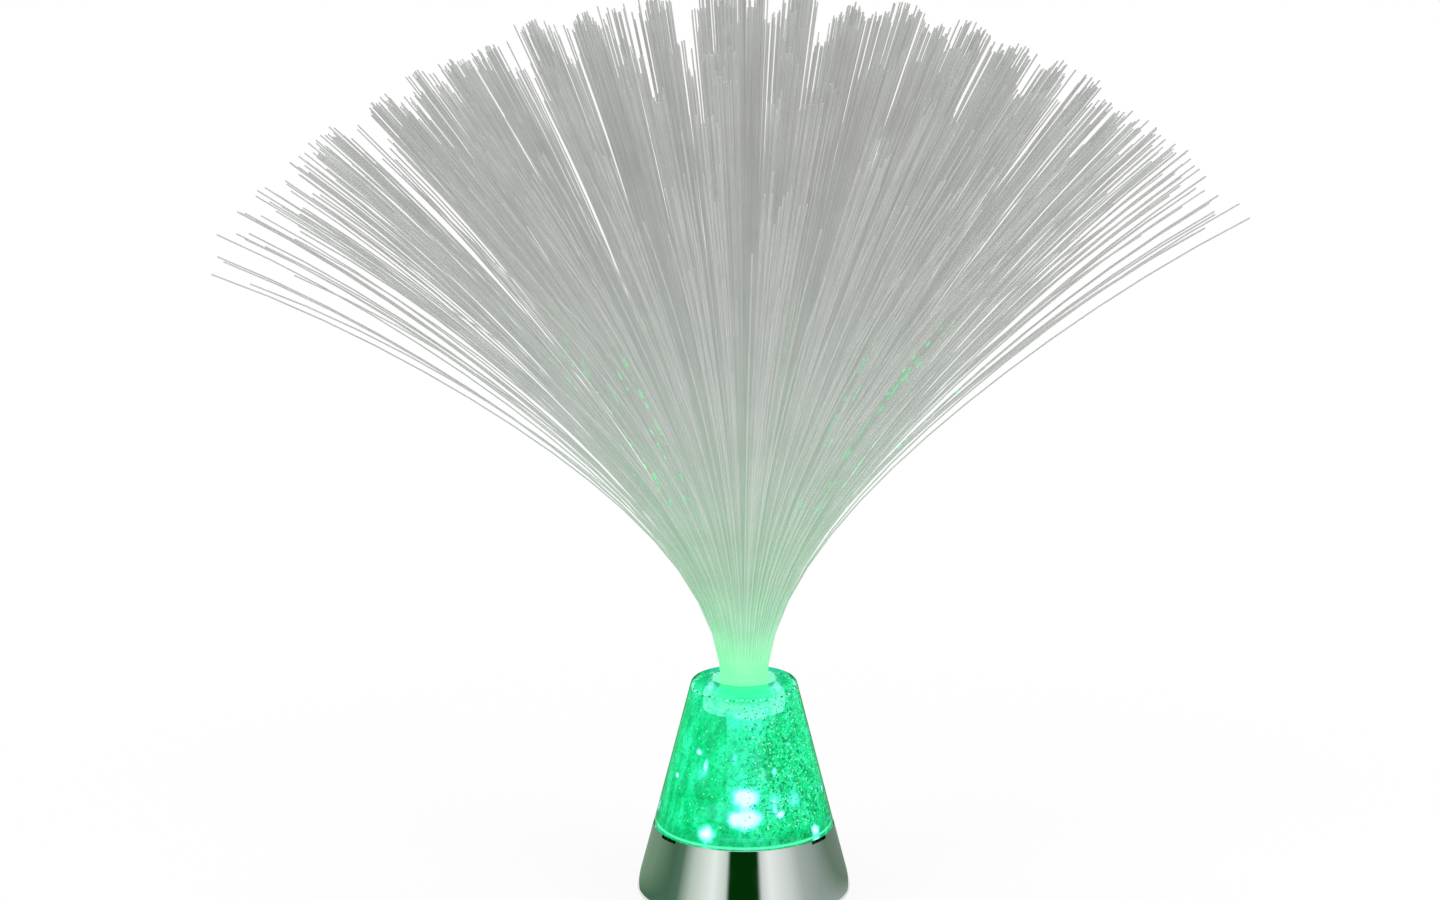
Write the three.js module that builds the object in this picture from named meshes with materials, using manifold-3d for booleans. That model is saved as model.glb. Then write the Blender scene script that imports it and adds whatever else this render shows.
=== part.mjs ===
// Fibre optic table lamp: a spray of light fibres in a clear glitter cone on a chrome base.
// Millimetres, +Z up. The origin is on the lamp's axis, at the level of the table.
import * as THREE from 'three';
import { mergeVertices } from 'three/addons/utils/BufferGeometryUtils.js';
import Module from 'manifold-3d';

const wasm = await Module();
wasm.setup();

// Clearances and fineness
const seatGap = 0.3; // between a piece and the one that holds it
const slideGap = 0.4; // beside a piece that moves
const overrun = 1; // how far every cutter reaches past the face it cuts
const largeSides = 40;
const mediumSides = 20;
const smallSides = 12;
const edgeSteps = 4; // steps of a rounded edge

// Directions around the lamp, seen from above; the front is -Y
const frontAzimuth = THREE.MathUtils.degToRad(270);
const backAzimuth = THREE.MathUtils.degToRad(90);

// Chrome base shell
const rimHeight = 1; // underside of the rim above the table
const widestRadius = 39.5;
const lowerEdgeRadius = 2.8;
const coneAngle = Math.atan(0.26);
const shellTop = 27.5;
const shellWall = 2.2;
const deckThickness = 2;
const deckOpeningRadius = 26;

// Slots in the shell's top edge, where the crystal's tabs clip in
const slotSpread = THREE.MathUtils.degToRad(55); // each side of the front
const slotWidth = 9.4;
const slotDepth = 1.1;
const tabThickness = 1;
const tabDepth = 0.7;

// Bosses for the bottom plate's screws
const plateBossX = 11;
const plateBossInset = 5.451; // from the bottom plate's edge
const plateBossRadius = 3;
const plateBossTop = 17;
const plateBossHoleDepth = 8;
const bossRibWidth = 2;

// Posts that carry the LED board
const postInset = 0.4; // from the LED board's edge
const postRadius = 2.2;
const postLength = 4.4;
const postHoleDepth = 3.6;
const postAzimuths = [50, 170, 290].map(THREE.MathUtils.degToRad);

// Bottom plate, feet and their places
const footHeight = 1.5;
const footRadius = 4;
const footX = 18.8;
const footInset = 5.513; // from the bottom plate's edge
const plateThickness = 2;

// Screws
const screwRadius = 1.1;
const screwHeadRadius = 2.2;
const screwHeadHeight = 1.1;
const screwSlotWidth = 0.6;
const screwSlotDepth = 0.5;
const headRecess = 0.2; // how far a sunk head lies under the face
const plateScrewLength = 8;
const boardScrewLength = 4.6;
const doorScrewLength = 5;

// AAA cells side by side along X
const cellRadius = 5.25;
const cellLength = 44.5; // with its nub
const cellNubRadius = 1.9;
const cellNubLength = 0.8;
const cellEdge = 0.5; // chamfer of the can's ends
const cellPitch = 11.5;
const cellFloorGap = 0.55;

// Battery contacts and springs
const contactThickness = 0.4;
const contactHeight = 4.6;
const contactWidth = 6;
const dimpleDepth = 1;
const dimpleRadius = 1.6;
const springLength = 3;
const springRadius = 2;
const springTopRadius = 1.3;
const springWireRadius = 0.25;
const springTurns = 3;

// Battery compartment, moulded on the bottom plate
const compartmentWall = 1.2;
const compartmentRoof = 1.2;

// Battery door, hooked in by two tongues and held by one screw
const tongueWidth = 4;
const tongueReach = 2.9; // past the hinge line, over the plate
const tongueRoot = 2;
const tongueThickness = 1.5;
const tongueGap = 0.35; // over the plate, at any angle of the door
const doorTabWidth = 8.6;
const doorTabLength = 7.4;
const doorBossRadius = 2.9;
const doorBossHeight = 6;
const doorGripWidth = 12;
const doorGripDepth = 0.6;
const doorGripLength = 1.2;
const doorGripCount = 4;

// Slide switch on the underside
const switchInset = 10.5; // from the bottom plate's edge
const switchLength = 8.6;
const switchWidth = 4.4;
const switchHeight = 4;
const switchPocketWall = 1;
const switchPocketHeight = 2.4;
const knobLength = 2;
const knobWidth = 1.8;
const knobReach = 0.7; // below the bottom plate
const knobDepth = 1.4; // into the switch's body
const knobTravel = 3;
const thumbWell = 0.7; // depth of the shallow well around the knob

// LED board with its parts
const boardEdgeGap = 1.922; // to the shell's wall
const boardThickness = 1.6;
const boardHoleGap = 0.3;
const ledRadius = 2.5;
const ledFlangeRadius = 2.9;
const ledFlangeHeight = 1;
const ledHeight = 8;
const ledCircleRadius = 17;
const ledAzimuths = [230, 350, 110].map(THREE.MathUtils.degToRad);
const chipLength = 6;
const chipWidth = 5;
const chipHeight = 1.4;
const chipPlaceY = 6;
const resistorLength = 3.2;
const resistorWidth = 1.6;
const resistorHeight = 0.7;
const resistorPitch = 3.4;
const resistorPlaceY = -3;
const resistorCount = 3;

// White reflector over the board
const reflectorThickness = 1.5;
const reflectorTopGap = 0.4; // under the crystal
const reflectorLegRadius = 1.5;
const reflectorLegInset = 1.5; // from the reflector's edge
const reflectorLegAzimuths = [20, 140, 260].map(THREE.MathUtils.degToRad);

// Wires
const wireRadius = 0.6;
const wireSteps = 10;
const wireHoleGap = 0.8; // around a wire, in the compartment's roof
const wireTurnShare = 0.12; // of the red wire's way, where it turns over the compartment

// Crystal: a clear cone with a socket in its top
const crystalHeight = 55;
const crystalSetback = 0.2; // inside the chrome's edge
const crystalWall = 2.2;
const crystalTopThickness = 3;
const crystalRimRadius = 3;
const socketRadius = 11.35;
const socketDepth = 10;
const socketWall = 1.5;
const socketLipRadius = 0.6;
const crystalFloorThickness = 3.3;
const lightGuideRadius = 5.3;
const liquidAirSpace = 0.8; // over the liquid, under the crystal's top
const fillPlugRadius = 2;
const fillPlugInset = 8.6; // from the crystal's wall
const fillPlugAzimuth = THREE.MathUtils.degToRad(60);

// Ferrule that plugs into the socket and holds the fibres
const ferruleHeight = 9.6;
const ferruleFit = 0.35; // around it, in the socket
const ferruleLedgeThickness = 1.2;
const ferruleLedgeWidth = 1.5;
const ferruleMouthChamfer = 0.8;

// Fibre spray, in four quarters potted at the root
const quarters = 4;
const strandsPerQuarter = 75;
const bundleRadius = 8.8;
const pottingHeight = 7.6;
const strandLength = 249.4;
const strandRadius = 0.3;
const strandSides = 3;
const strandRootDepth = 1; // part of a strand inside the potting
const bendLength = 49; // over which a strand takes up most of its lean
const largestLean = THREE.MathUtils.degToRad(58);
const largestDroop = THREE.MathUtils.degToRad(12);
const steadyLeanShare = 0.76; // of the lean that grows evenly from the middle outward
const outerLeanPower = 8; // the rest is taken by the outermost strands only
const leanJitterShare = 0.03;
const lengthJitterShare = 0.035;
const outerShorteningShare = 0.015;
const goldenShare = (Math.sqrt(5) - 1) / 2;
const plasticShare = 0.7548776662; // spreads the jitter without a visible rhythm
const fewestSegments = 2;
const moreSegments = 2; // added on the strands that lean most
const ringSpacingPower = 1.6; // rings lie closer together near the root
const pathSteps = 12; // steps of a strand's path between two rings

// Places that follow from the sizes
const plateBottom = footHeight;
const plateTop = plateBottom + plateThickness;
const edgeCentreRadius = widestRadius - lowerEdgeRadius;
const edgeCentreHeight = rimHeight + lowerEdgeRadius;
const coneStartRadius = edgeCentreRadius + lowerEdgeRadius * Math.cos(coneAngle);
const coneStartHeight = edgeCentreHeight + lowerEdgeRadius * Math.sin(coneAngle);
const plateRadius = edgeCentreRadius - lowerEdgeRadius / 4;
const shellMouthRadius = plateRadius + seatGap;
const plateBossY = Math.sqrt((plateRadius - plateBossInset) ** 2 - plateBossX ** 2);
const footY = Math.sqrt((plateRadius - footInset) ** 2 - footX ** 2);
const switchY = switchInset - plateRadius;
const deckUnderside = shellTop - deckThickness;
const boardTop = deckUnderside - postLength;
const boardUnderside = boardTop - boardThickness;
const boardRadius = innerRadiusAt(boardTop, shellWall) - boardEdgeGap;
const postCircleRadius = boardRadius - postRadius - postInset;
const ledTop = boardTop + ledHeight;
const reflectorTop = shellTop - reflectorTopGap;
const reflectorUnderside = reflectorTop - reflectorThickness;
const reflectorRadius = deckOpeningRadius - slideGap;
const reflectorLegCircle = reflectorRadius - reflectorLegRadius - reflectorLegInset;
const crystalTop = shellTop + crystalHeight;
const crystalFloorTop = shellTop + crystalFloorThickness;
const fillPlugCircle = crystalInnerRadiusAt(crystalFloorTop) - fillPlugInset;
const socketFloor = crystalTop - socketDepth;
const socketUnderside = socketFloor - socketWall;
const socketOuterRadius = socketRadius + socketWall;
const ferruleRadius = socketRadius - ferruleFit;
const ferruleTop = socketFloor + ferruleHeight;
const ferruleBore = bundleRadius + seatGap;
const pottingBottom = socketFloor + ferruleLedgeThickness;
const pottingTop = pottingBottom + pottingHeight;
const cellHeight = plateTop + cellFloorGap + cellRadius;
const compartmentHalfLength =
  (2 * contactThickness + 3 * seatGap + cellLength + springLength + dimpleDepth) / 2;
const compartmentHalfWidth = cellPitch + cellRadius + slideGap;
const compartmentOuterLength = compartmentHalfLength + compartmentWall;
const compartmentOuterWidth = compartmentHalfWidth + compartmentWall;
const roofUnderside = cellHeight + cellRadius + slideGap;
const roofTop = roofUnderside + compartmentRoof;
const cellStart = contactThickness + 2 * seatGap + springLength - compartmentHalfLength;
const contactTop = cellHeight + contactHeight / 2;
const switchTop = plateTop + switchHeight;
const liquidTop = crystalTop - crystalTopThickness - liquidAirSpace;
const screwHeadTop = plateBottom + headRecess + screwHeadHeight;
const hingeX = compartmentHalfLength;
const doorEdgeX = hingeX - slideGap;
const tongueBottom = plateTop + tongueGap;
const tongueTop = tongueBottom + tongueThickness;
const tongueSweep = Math.hypot(tongueReach, tongueTop - plateBottom);
const tongueY = cellPitch / 2;
const doorScrewX = -(compartmentHalfLength + doorTabLength - doorTabWidth / 2);

function outerRadiusAt(height) {
  return coneStartRadius - Math.tan(coneAngle) * (height - coneStartHeight);
}

function innerRadiusAt(height, wall) {
  return outerRadiusAt(height) - wall / Math.cos(coneAngle);
}

function crystalRadiusAt(height) {
  return outerRadiusAt(height) - crystalSetback;
}

function crystalInnerRadiusAt(height) {
  return innerRadiusAt(height, crystalWall) - crystalSetback;
}

// Materials
function material(color, roughness, metalness, opacity = 1) {
  return new THREE.MeshStandardMaterial({
    color,
    roughness,
    metalness,
    opacity,
    transparent: opacity < 1,
    flatShading: true,
  });
}

const finishes = {
  chrome: material('#c9cfcf', 0.12, 1),
  clearCrystal: material('#2af7aa', 0.05, 0, 0.45),
  clearAcrylic: material('#b9f5dc', 0.08, 0, 0.5),
  glitterLiquid: material('#33e28f', 0.1, 0, 0.6),
  fibre: material('#adb0ab', 0.35, 0),
  milkyPlastic: material('#99f8b7', 0.4, 0),
  blackPlastic: material('#17191a', 0.55, 0),
  whitePlastic: material('#e9ebe8', 0.5, 0),
  rubber: material('#26282a', 0.9, 0),
  screwSteel: material('#9a9da1', 0.35, 1),
  contactSteel: material('#c4c6c4', 0.3, 1),
  cellSleeve: material('#3c6f9c', 0.4, 0.2),
  circuitBoard: material('#1d5a38', 0.5, 0),
  chip: material('#1b1b1e', 0.45, 0),
  resistor: material('#7fa6c4', 0.5, 0),
  led: material('#e8fff4', 0.1, 0, 0.7),
  redWire: material('#b3221c', 0.45, 0),
  blackWire: material('#1c1c1e', 0.45, 0),
  yellowWire: material('#d0a51e', 0.45, 0),
};

// Closed solids: shared vertices merged, collapsed triangles dropped, faces turned outward
function closedIndices(positions, indices) {
  const kept = [];
  for (let i = 0; i < indices.length; i += 3) {
    const [a, b, c] = [indices[i], indices[i + 1], indices[i + 2]];
    if (a !== b && b !== c && c !== a) kept.push(a, b, c);
  }
  const [a, b, c] = [new THREE.Vector3(), new THREE.Vector3(), new THREE.Vector3()];
  let volume = 0;
  for (let i = 0; i < kept.length; i += 3) {
    a.fromArray(positions, kept[i] * 3);
    b.fromArray(positions, kept[i + 1] * 3);
    c.fromArray(positions, kept[i + 2] * 3);
    volume += a.dot(b.cross(c));
  }
  return volume < 0 ? kept.reverse() : kept;
}

function solid(geometry) {
  const bare = geometry.clone();
  bare.deleteAttribute('normal');
  bare.deleteAttribute('uv');
  const merged = mergeVertices(bare);
  const vertProperties = Float32Array.from(merged.attributes.position.array);
  const triVerts = Uint32Array.from(closedIndices(vertProperties, merged.index.array));
  return new wasm.Manifold(new wasm.Mesh({ numProp: 3, vertProperties, triVerts }));
}

function geometryOf(body) {
  const mesh = body.getMesh();
  const geometry = new THREE.BufferGeometry();
  geometry.setAttribute('position', new THREE.BufferAttribute(mesh.vertProperties, mesh.numProp));
  geometry.setIndex(new THREE.BufferAttribute(mesh.triVerts, 1));
  geometry.computeVertexNormals();
  return geometry;
}

function join(first, ...others) {
  return others.reduce((body, other) => body.add(other), first);
}

function cut(body, ...cutters) {
  return cutters.reduce((left, cutter) => left.subtract(cutter), body);
}

// Simple shapes as solids, with Z as the axis
function boxGeometry(lowX, highX, lowY, highY, lowZ, highZ) {
  const geometry = new THREE.BoxGeometry(highX - lowX, highY - lowY, highZ - lowZ);
  return geometry.translate((lowX + highX) / 2, (lowY + highY) / 2, (lowZ + highZ) / 2);
}

function block(...bounds) {
  return solid(boxGeometry(...bounds));
}

function column(radius, lowZ, highZ, x = 0, y = 0, sides = mediumSides) {
  const geometry = new THREE.CylinderGeometry(radius, radius, highZ - lowZ, sides);
  geometry.rotateX(Math.PI / 2);
  geometry.translate(x, y, (lowZ + highZ) / 2);
  return solid(geometry);
}

function latheGeometry(profile, sides) {
  return new THREE.LatheGeometry(profile, sides).rotateX(Math.PI / 2);
}

function revolve(profile, sides = largeSides) {
  return solid(latheGeometry(profile, sides));
}

function prism(outline, lowZ, highZ) {
  const shape = new THREE.Shape(outline);
  const geometry = new THREE.ExtrudeGeometry(shape, { depth: highZ - lowZ, bevelEnabled: false });
  geometry.translate(0, 0, lowZ);
  return solid(geometry);
}

function at(radius, height) {
  return new THREE.Vector2(radius, height);
}

// Points of a rounded edge around a centre, from one angle to another
function arc(centre, radius, fromAngle, toAngle, steps = edgeSteps) {
  const points = [];
  for (let i = 0; i <= steps; i += 1) {
    const angle = THREE.MathUtils.lerp(fromAngle, toAngle, i / steps);
    points.push(at(centre.x + radius * Math.cos(angle), centre.y + radius * Math.sin(angle)));
  }
  return points;
}

function around(radius, azimuth) {
  return at(radius * Math.cos(azimuth), radius * Math.sin(azimuth));
}

// A box that reaches outward along an azimuth, such as a rib or a slot
function spoke(lowRadius, highRadius, width, lowZ, highZ, azimuth) {
  const geometry = boxGeometry(lowRadius, highRadius, -width / 2, width / 2, lowZ, highZ);
  return solid(geometry.rotateZ(azimuth));
}

const wireHoleRadius = wireRadius + wireHoleGap;
const wireStarts = {
  red: at(compartmentHalfLength - wireHoleRadius - seatGap, cellPitch),
  black: at(wireHoleRadius + seatGap - compartmentHalfLength, -cellPitch),
};

const slotAzimuths = [frontAzimuth - slotSpread, frontAzimuth + slotSpread, backAzimuth];
const plateBossPlaces = [-1, 1].flatMap((x) => [-1, 1].map((y) => at(x * plateBossX, y * plateBossY)));
const postPlaces = postAzimuths.map((azimuth) => around(postCircleRadius, azimuth));
const ledPlaces = [at(0, 0), ...ledAzimuths.map((azimuth) => around(ledCircleRadius, azimuth))];

// Chrome shell: a cone with a rounded lower edge and a deck that carries the crystal
function baseShell() {
  const edge = arc(at(edgeCentreRadius, edgeCentreHeight), lowerEdgeRadius, -Math.PI / 2, coneAngle);
  const walls = revolve([
    at(shellMouthRadius, rimHeight),
    ...edge,
    at(outerRadiusAt(shellTop), shellTop),
    at(deckOpeningRadius, shellTop),
    at(deckOpeningRadius, deckUnderside),
    at(innerRadiusAt(deckUnderside, shellWall), deckUnderside),
    at(innerRadiusAt(plateTop + shellWall, shellWall), plateTop + shellWall),
    at(shellMouthRadius, plateTop),
    at(shellMouthRadius, rimHeight),
  ]);
  const bosses = plateBossPlaces.flatMap((place) => {
    const ribEnd = outerRadiusAt(plateBossTop) - shellWall / 2;
    const azimuth = Math.atan2(place.y, place.x);
    return [
      column(plateBossRadius, plateTop, plateBossTop, place.x, place.y, smallSides),
      spoke(place.length(), ribEnd, bossRibWidth, (plateTop + plateBossTop) / 2, plateBossTop, azimuth),
    ];
  });
  const posts = postPlaces.map(({ x, y }) =>
    column(postRadius, boardTop, deckUnderside + deckThickness / 2, x, y, smallSides),
  );
  const plateHoles = plateBossPlaces.map(({ x, y }) =>
    column(screwRadius + seatGap, plateTop - overrun, plateTop + plateBossHoleDepth, x, y, smallSides),
  );
  const postHoles = postPlaces.map(({ x, y }) =>
    column(screwRadius + seatGap, boardTop - overrun, boardTop + postHoleDepth, x, y, smallSides),
  );
  const slots = slotAzimuths.map((azimuth) => {
    const low = crystalRadiusAt(shellTop) - crystalWall;
    return spoke(low, widestRadius, slotWidth, shellTop - slotDepth, shellTop + overrun, azimuth);
  });
  return cut(join(walls, ...bosses, ...posts), ...plateHoles, ...postHoles, ...slots);
}

// Battery compartment: a box on the bottom plate, hollowed from below
function compartment() {
  const [x, y] = [compartmentOuterLength, compartmentOuterWidth];
  return block(-x, x, -y, y, plateTop - plateThickness / 2, roofTop);
}

function compartmentHollow() {
  const [x, y] = [compartmentHalfLength, compartmentHalfWidth];
  return block(-x, x, -y, y, plateBottom - overrun, roofUnderside);
}

function tongueWindows() {
  const halfWidth = tongueWidth / 2 + slideGap;
  return [-tongueY, tongueY].map((y) =>
    block(
      compartmentHalfLength - overrun,
      compartmentOuterLength + overrun,
      y - halfWidth,
      y + halfWidth,
      plateTop,
      plateBottom + tongueSweep + slideGap,
    ),
  );
}

// The opening under the door's tab, round around the door's screw
function doorTab(gap, lowZ, highZ) {
  const halfWidth = doorTabWidth / 2 + gap;
  const strip = block(doorScrewX, -doorEdgeX, -halfWidth, halfWidth, lowZ, highZ);
  return join(strip, column(halfWidth, lowZ, highZ, doorScrewX, 0));
}

function bottomPlate() {
  const disc = column(plateRadius, plateBottom, plateTop, 0, 0, largeSides);
  const tabOpening = doorTab(slideGap, plateBottom - overrun, plateTop);
  const doorBossTop = plateTop + doorBossHeight;
  const doorBoss = column(doorBossRadius, plateTop, doorBossTop, doorScrewX, 0);
  const doorHoleRadius = screwRadius + slideGap + seatGap / 2;
  const doorHole = column(doorHoleRadius, plateTop - overrun, doorBossTop + overrun, doorScrewX, 0, smallSides);
  const screwHoles = plateBossPlaces.flatMap(({ x, y }) => [
    column(screwRadius + seatGap, plateBottom - overrun, plateTop + overrun, x, y, smallSides),
    column(screwHeadRadius + seatGap, plateBottom - overrun, plateBottom + screwHeadHeight + headRecess, x, y),
  ]);
  const wireHoles = [wireStarts.red, wireStarts.black].map(({ x, y }) =>
    column(wireHoleRadius, roofUnderside - overrun, roofTop + overrun, x, y, smallSides),
  );
  const body = cut(join(disc, compartment()), compartmentHollow(), tabOpening);
  const openings = [doorHole, ...screwHoles, ...wireHoles, ...tongueWindows(), ...knobOpenings()];
  return cut(join(body, doorBoss, switchPocket()), ...openings);
}

// Slide switch: a pocket on the plate, a body in it and a knob through the plate
function aroundSwitch(halfLength, halfWidth, lowZ, highZ) {
  return block(-halfLength, halfLength, switchY - halfWidth, switchY + halfWidth, lowZ, highZ);
}

function switchPocket() {
  const inner = [switchLength / 2 + seatGap, switchWidth / 2 + seatGap];
  const outer = inner.map((half) => half + switchPocketWall);
  const top = plateTop + switchPocketHeight;
  const walls = aroundSwitch(...outer, plateTop - plateThickness / 2, top);
  return cut(walls, aroundSwitch(...inner, plateTop, top + overrun));
}

function knobOpenings() {
  const halfLength = (knobLength + knobTravel) / 2 + slideGap;
  const halfWidth = knobWidth / 2 + seatGap;
  const wellTop = plateBottom + thumbWell;
  return [
    aroundSwitch(halfLength, halfWidth, plateBottom - overrun, plateTop + overrun),
    aroundSwitch(switchLength / 2, switchWidth / 2, plateBottom - overrun, wellTop),
  ];
}

function switchBody() {
  const halfLength = (knobLength + knobTravel) / 2 + slideGap;
  const hollow = aroundSwitch(
    halfLength, knobWidth / 2 + seatGap, plateTop - overrun, plateTop + knobDepth + seatGap,
  );
  return cut(aroundSwitch(switchLength / 2, switchWidth / 2, plateTop, switchTop), hollow);
}

// The knob rests at the end of its travel where the lamp is on
function switchKnob() {
  const low = -(knobLength + knobTravel) / 2;
  const [front, back] = [switchY - knobWidth / 2, switchY + knobWidth / 2];
  return block(low, low + knobLength, front, back, plateBottom - knobReach, plateTop + knobDepth);
}

// Battery door
function batteryDoor() {
  const halfWidth = compartmentHalfWidth - slideGap;
  const panel = block(-doorEdgeX, doorEdgeX, -halfWidth, halfWidth, plateBottom, plateTop);
  const tongues = [-tongueY, tongueY].flatMap((y) => {
    const sides = [y - tongueWidth / 2, y + tongueWidth / 2];
    return [
      block(doorEdgeX - tongueRoot, doorEdgeX, ...sides, plateTop - plateThickness / 2, tongueTop),
      block(doorEdgeX - tongueRoot, hingeX + tongueReach, ...sides, tongueBottom, tongueTop),
    ];
  });
  const grips = Array.from({ length: doorGripCount }, (_, i) => {
    const low = -doorEdgeX + doorGripLength * (2 * i + 2);
    const half = doorGripWidth / 2;
    return block(low, low + doorGripLength, -half, half, plateBottom - overrun, plateBottom + doorGripDepth);
  });
  const below = plateBottom - overrun;
  const hole = column(screwRadius + seatGap, below, plateTop + overrun, doorScrewX, 0, smallSides);
  const sink = column(screwHeadRadius + seatGap, below, screwHeadTop, doorScrewX, 0);
  return cut(join(panel, doorTab(0, plateBottom, plateTop), ...tongues), ...grips, hole, sink);
}

// A round screw with a straight slot, its head down
function screw(place, headTop, length) {
  const headBottom = headTop - screwHeadHeight;
  const { x, y } = place;
  const head = column(screwHeadRadius, headBottom, headTop, x, y, smallSides);
  const shank = column(screwRadius, headTop - screwHeadHeight / 2, headTop + length, x, y, smallSides);
  const slot = block(
    x - screwHeadRadius - overrun,
    x + screwHeadRadius + overrun,
    y - screwSlotWidth / 2,
    y + screwSlotWidth / 2,
    headBottom - overrun,
    headBottom + screwSlotDepth,
  );
  return cut(join(head, shank), slot);
}

function plateScrew(place) {
  return screw(place, screwHeadTop, plateScrewLength);
}

function boardScrew(place) {
  return screw(place, boardUnderside, boardScrewLength);
}

// A cell lies along X; direction is +1 where its nub points to +X
function cell(y, direction) {
  const canEnd = cellStart + cellLength - cellNubLength;
  const geometry = latheGeometry([
    at(0, cellStart),
    at(cellRadius - cellEdge, cellStart),
    at(cellRadius, cellStart + cellEdge),
    at(cellRadius, canEnd - cellEdge),
    at(cellRadius - cellEdge, canEnd),
    at(cellNubRadius, canEnd),
    at(cellNubRadius, cellStart + cellLength),
    at(0, cellStart + cellLength),
  ], mediumSides);
  geometry.rotateY(direction * Math.PI / 2);
  return solid(geometry.translate(0, y, cellHeight));
}

// A contact plate against an end wall; dimples press on the positive ends
function contact(side, lowY, highY, dimplePlaces) {
  const face = compartmentHalfLength - contactThickness;
  const xs = [side * face, side * compartmentHalfLength].sort((a, b) => a - b);
  const halfWidth = contactWidth / 2;
  const bottom = contactTop - contactHeight;
  const plate = block(...xs, lowY - halfWidth, highY + halfWidth, bottom, contactTop);
  const dimples = dimplePlaces.map((y) => {
    const length = dimpleDepth + contactThickness / 2;
    const geometry = new THREE.CylinderGeometry(dimpleRadius, dimpleRadius, length, smallSides);
    geometry.rotateZ(Math.PI / 2);
    return solid(geometry.translate(side * (face - dimpleDepth + length / 2), y, cellHeight));
  });
  return join(plate, ...dimples);
}

// A conical spring between a contact plate and the flat end of a cell
class SpringCurve extends THREE.Curve {
  constructor(side, y) {
    super();
    this.side = side;
    this.y = y;
  }

  getPoint(share, target = new THREE.Vector3()) {
    const angle = share * springTurns * 2 * Math.PI;
    const radius = THREE.MathUtils.lerp(springRadius, springTopRadius, share);
    const free = springLength - 2 * springWireRadius;
    const start = compartmentHalfLength - contactThickness - seatGap - springWireRadius;
    return target.set(
      this.side * (start - free * share),
      this.y + radius * Math.cos(angle),
      cellHeight + radius * Math.sin(angle),
    );
  }
}

function sweep(curve, radius, sides, steps) {
  const outline = [];
  for (let i = 0; i < sides; i += 1) outline.push(around(radius, (i / sides) * 2 * Math.PI));
  return solid(new THREE.ExtrudeGeometry(new THREE.Shape(outline), { steps, extrudePath: curve }));
}

function spring(side, y) {
  const sides = 5;
  const stepsPerTurn = 8;
  return sweep(new SpringCurve(side, y), springWireRadius, sides, springTurns * stepsPerTurn);
}

// LED board, the parts on it and the reflector
function ledBoard() {
  const disc = column(boardRadius, boardUnderside, boardTop);
  const holes = postPlaces.map(({ x, y }) =>
    column(screwRadius + boardHoleGap, boardUnderside - overrun, boardTop + overrun, x, y, smallSides),
  );
  return cut(disc, ...holes);
}

function led(place) {
  const domeBase = ledTop - ledRadius;
  const dome = arc(at(0, domeBase), ledRadius, 0, Math.PI / 2);
  dome[dome.length - 1].x = 0;
  const geometry = latheGeometry([
    at(0, boardTop),
    at(ledFlangeRadius, boardTop),
    at(ledFlangeRadius, boardTop + ledFlangeHeight),
    at(ledRadius, boardTop + ledFlangeHeight),
    ...dome,
  ], smallSides);
  return solid(geometry.translate(place.x, place.y, 0));
}

function underBoard(x, y, length, width, height) {
  const [lowX, lowY] = [x - length / 2, y - width / 2];
  return block(lowX, lowX + length, lowY, lowY + width, boardUnderside - height, boardUnderside);
}

function chip() {
  return underBoard(0, chipPlaceY, chipLength, chipWidth, chipHeight);
}

function resistor(index) {
  const x = (index - (resistorCount - 1) / 2) * resistorPitch;
  return underBoard(x, resistorPlaceY, resistorWidth, resistorLength, resistorHeight);
}

function reflector() {
  const disc = column(reflectorRadius, reflectorUnderside, reflectorTop);
  const holes = ledPlaces.map(({ x, y }) =>
    column(ledRadius + slideGap, reflectorUnderside - overrun, reflectorTop + overrun, x, y, smallSides),
  );
  const legs = reflectorLegAzimuths.map((azimuth) => {
    const { x, y } = around(reflectorLegCircle, azimuth);
    return column(reflectorLegRadius, boardTop, reflectorUnderside + reflectorThickness / 2, x, y, smallSides);
  });
  return cut(join(disc, ...legs), ...holes);
}

// Wires: from the end contacts and the switch up to the board
function wire(points) {
  const curve = new THREE.CatmullRomCurve3(points, false, 'centripetal');
  return sweep(curve, wireRadius, smallSides / 2, wireSteps);
}

function risingWire(start, startHeight, straightHeight, leanX, leanY) {
  const end = new THREE.Vector3(start.x + leanX, start.y + leanY, boardUnderside - wireRadius);
  const bend = new THREE.Vector3(start.x, start.y, straightHeight);
  return wire([new THREE.Vector3(start.x, start.y, startHeight), bend, end]);
}

function blackWire() {
  return risingWire(wireStarts.black, contactTop + seatGap, roofTop, cellRadius, 0);
}

function yellowWire() {
  const start = at(-switchLength / 4, switchY);
  return risingWire(start, switchTop + seatGap, roofTop, -switchWidth, switchWidth);
}

function redWire() {
  const start = wireStarts.red;
  const end = at(switchLength / 4, switchY);
  const crossing = (roofTop + boardUnderside - chipHeight) / 2;
  const over = (share) => {
    const place = start.clone().lerp(end, share);
    return new THREE.Vector3(place.x, place.y, crossing);
  };
  return wire([
    new THREE.Vector3(start.x, start.y, contactTop + seatGap),
    new THREE.Vector3(start.x, start.y, roofTop + wireRadius),
    over(wireTurnShare),
    over(1 - wireTurnShare),
    new THREE.Vector3(end.x, end.y, (crossing + switchTop) / 2),
    new THREE.Vector3(end.x, end.y, switchTop + seatGap),
  ]);
}

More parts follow.
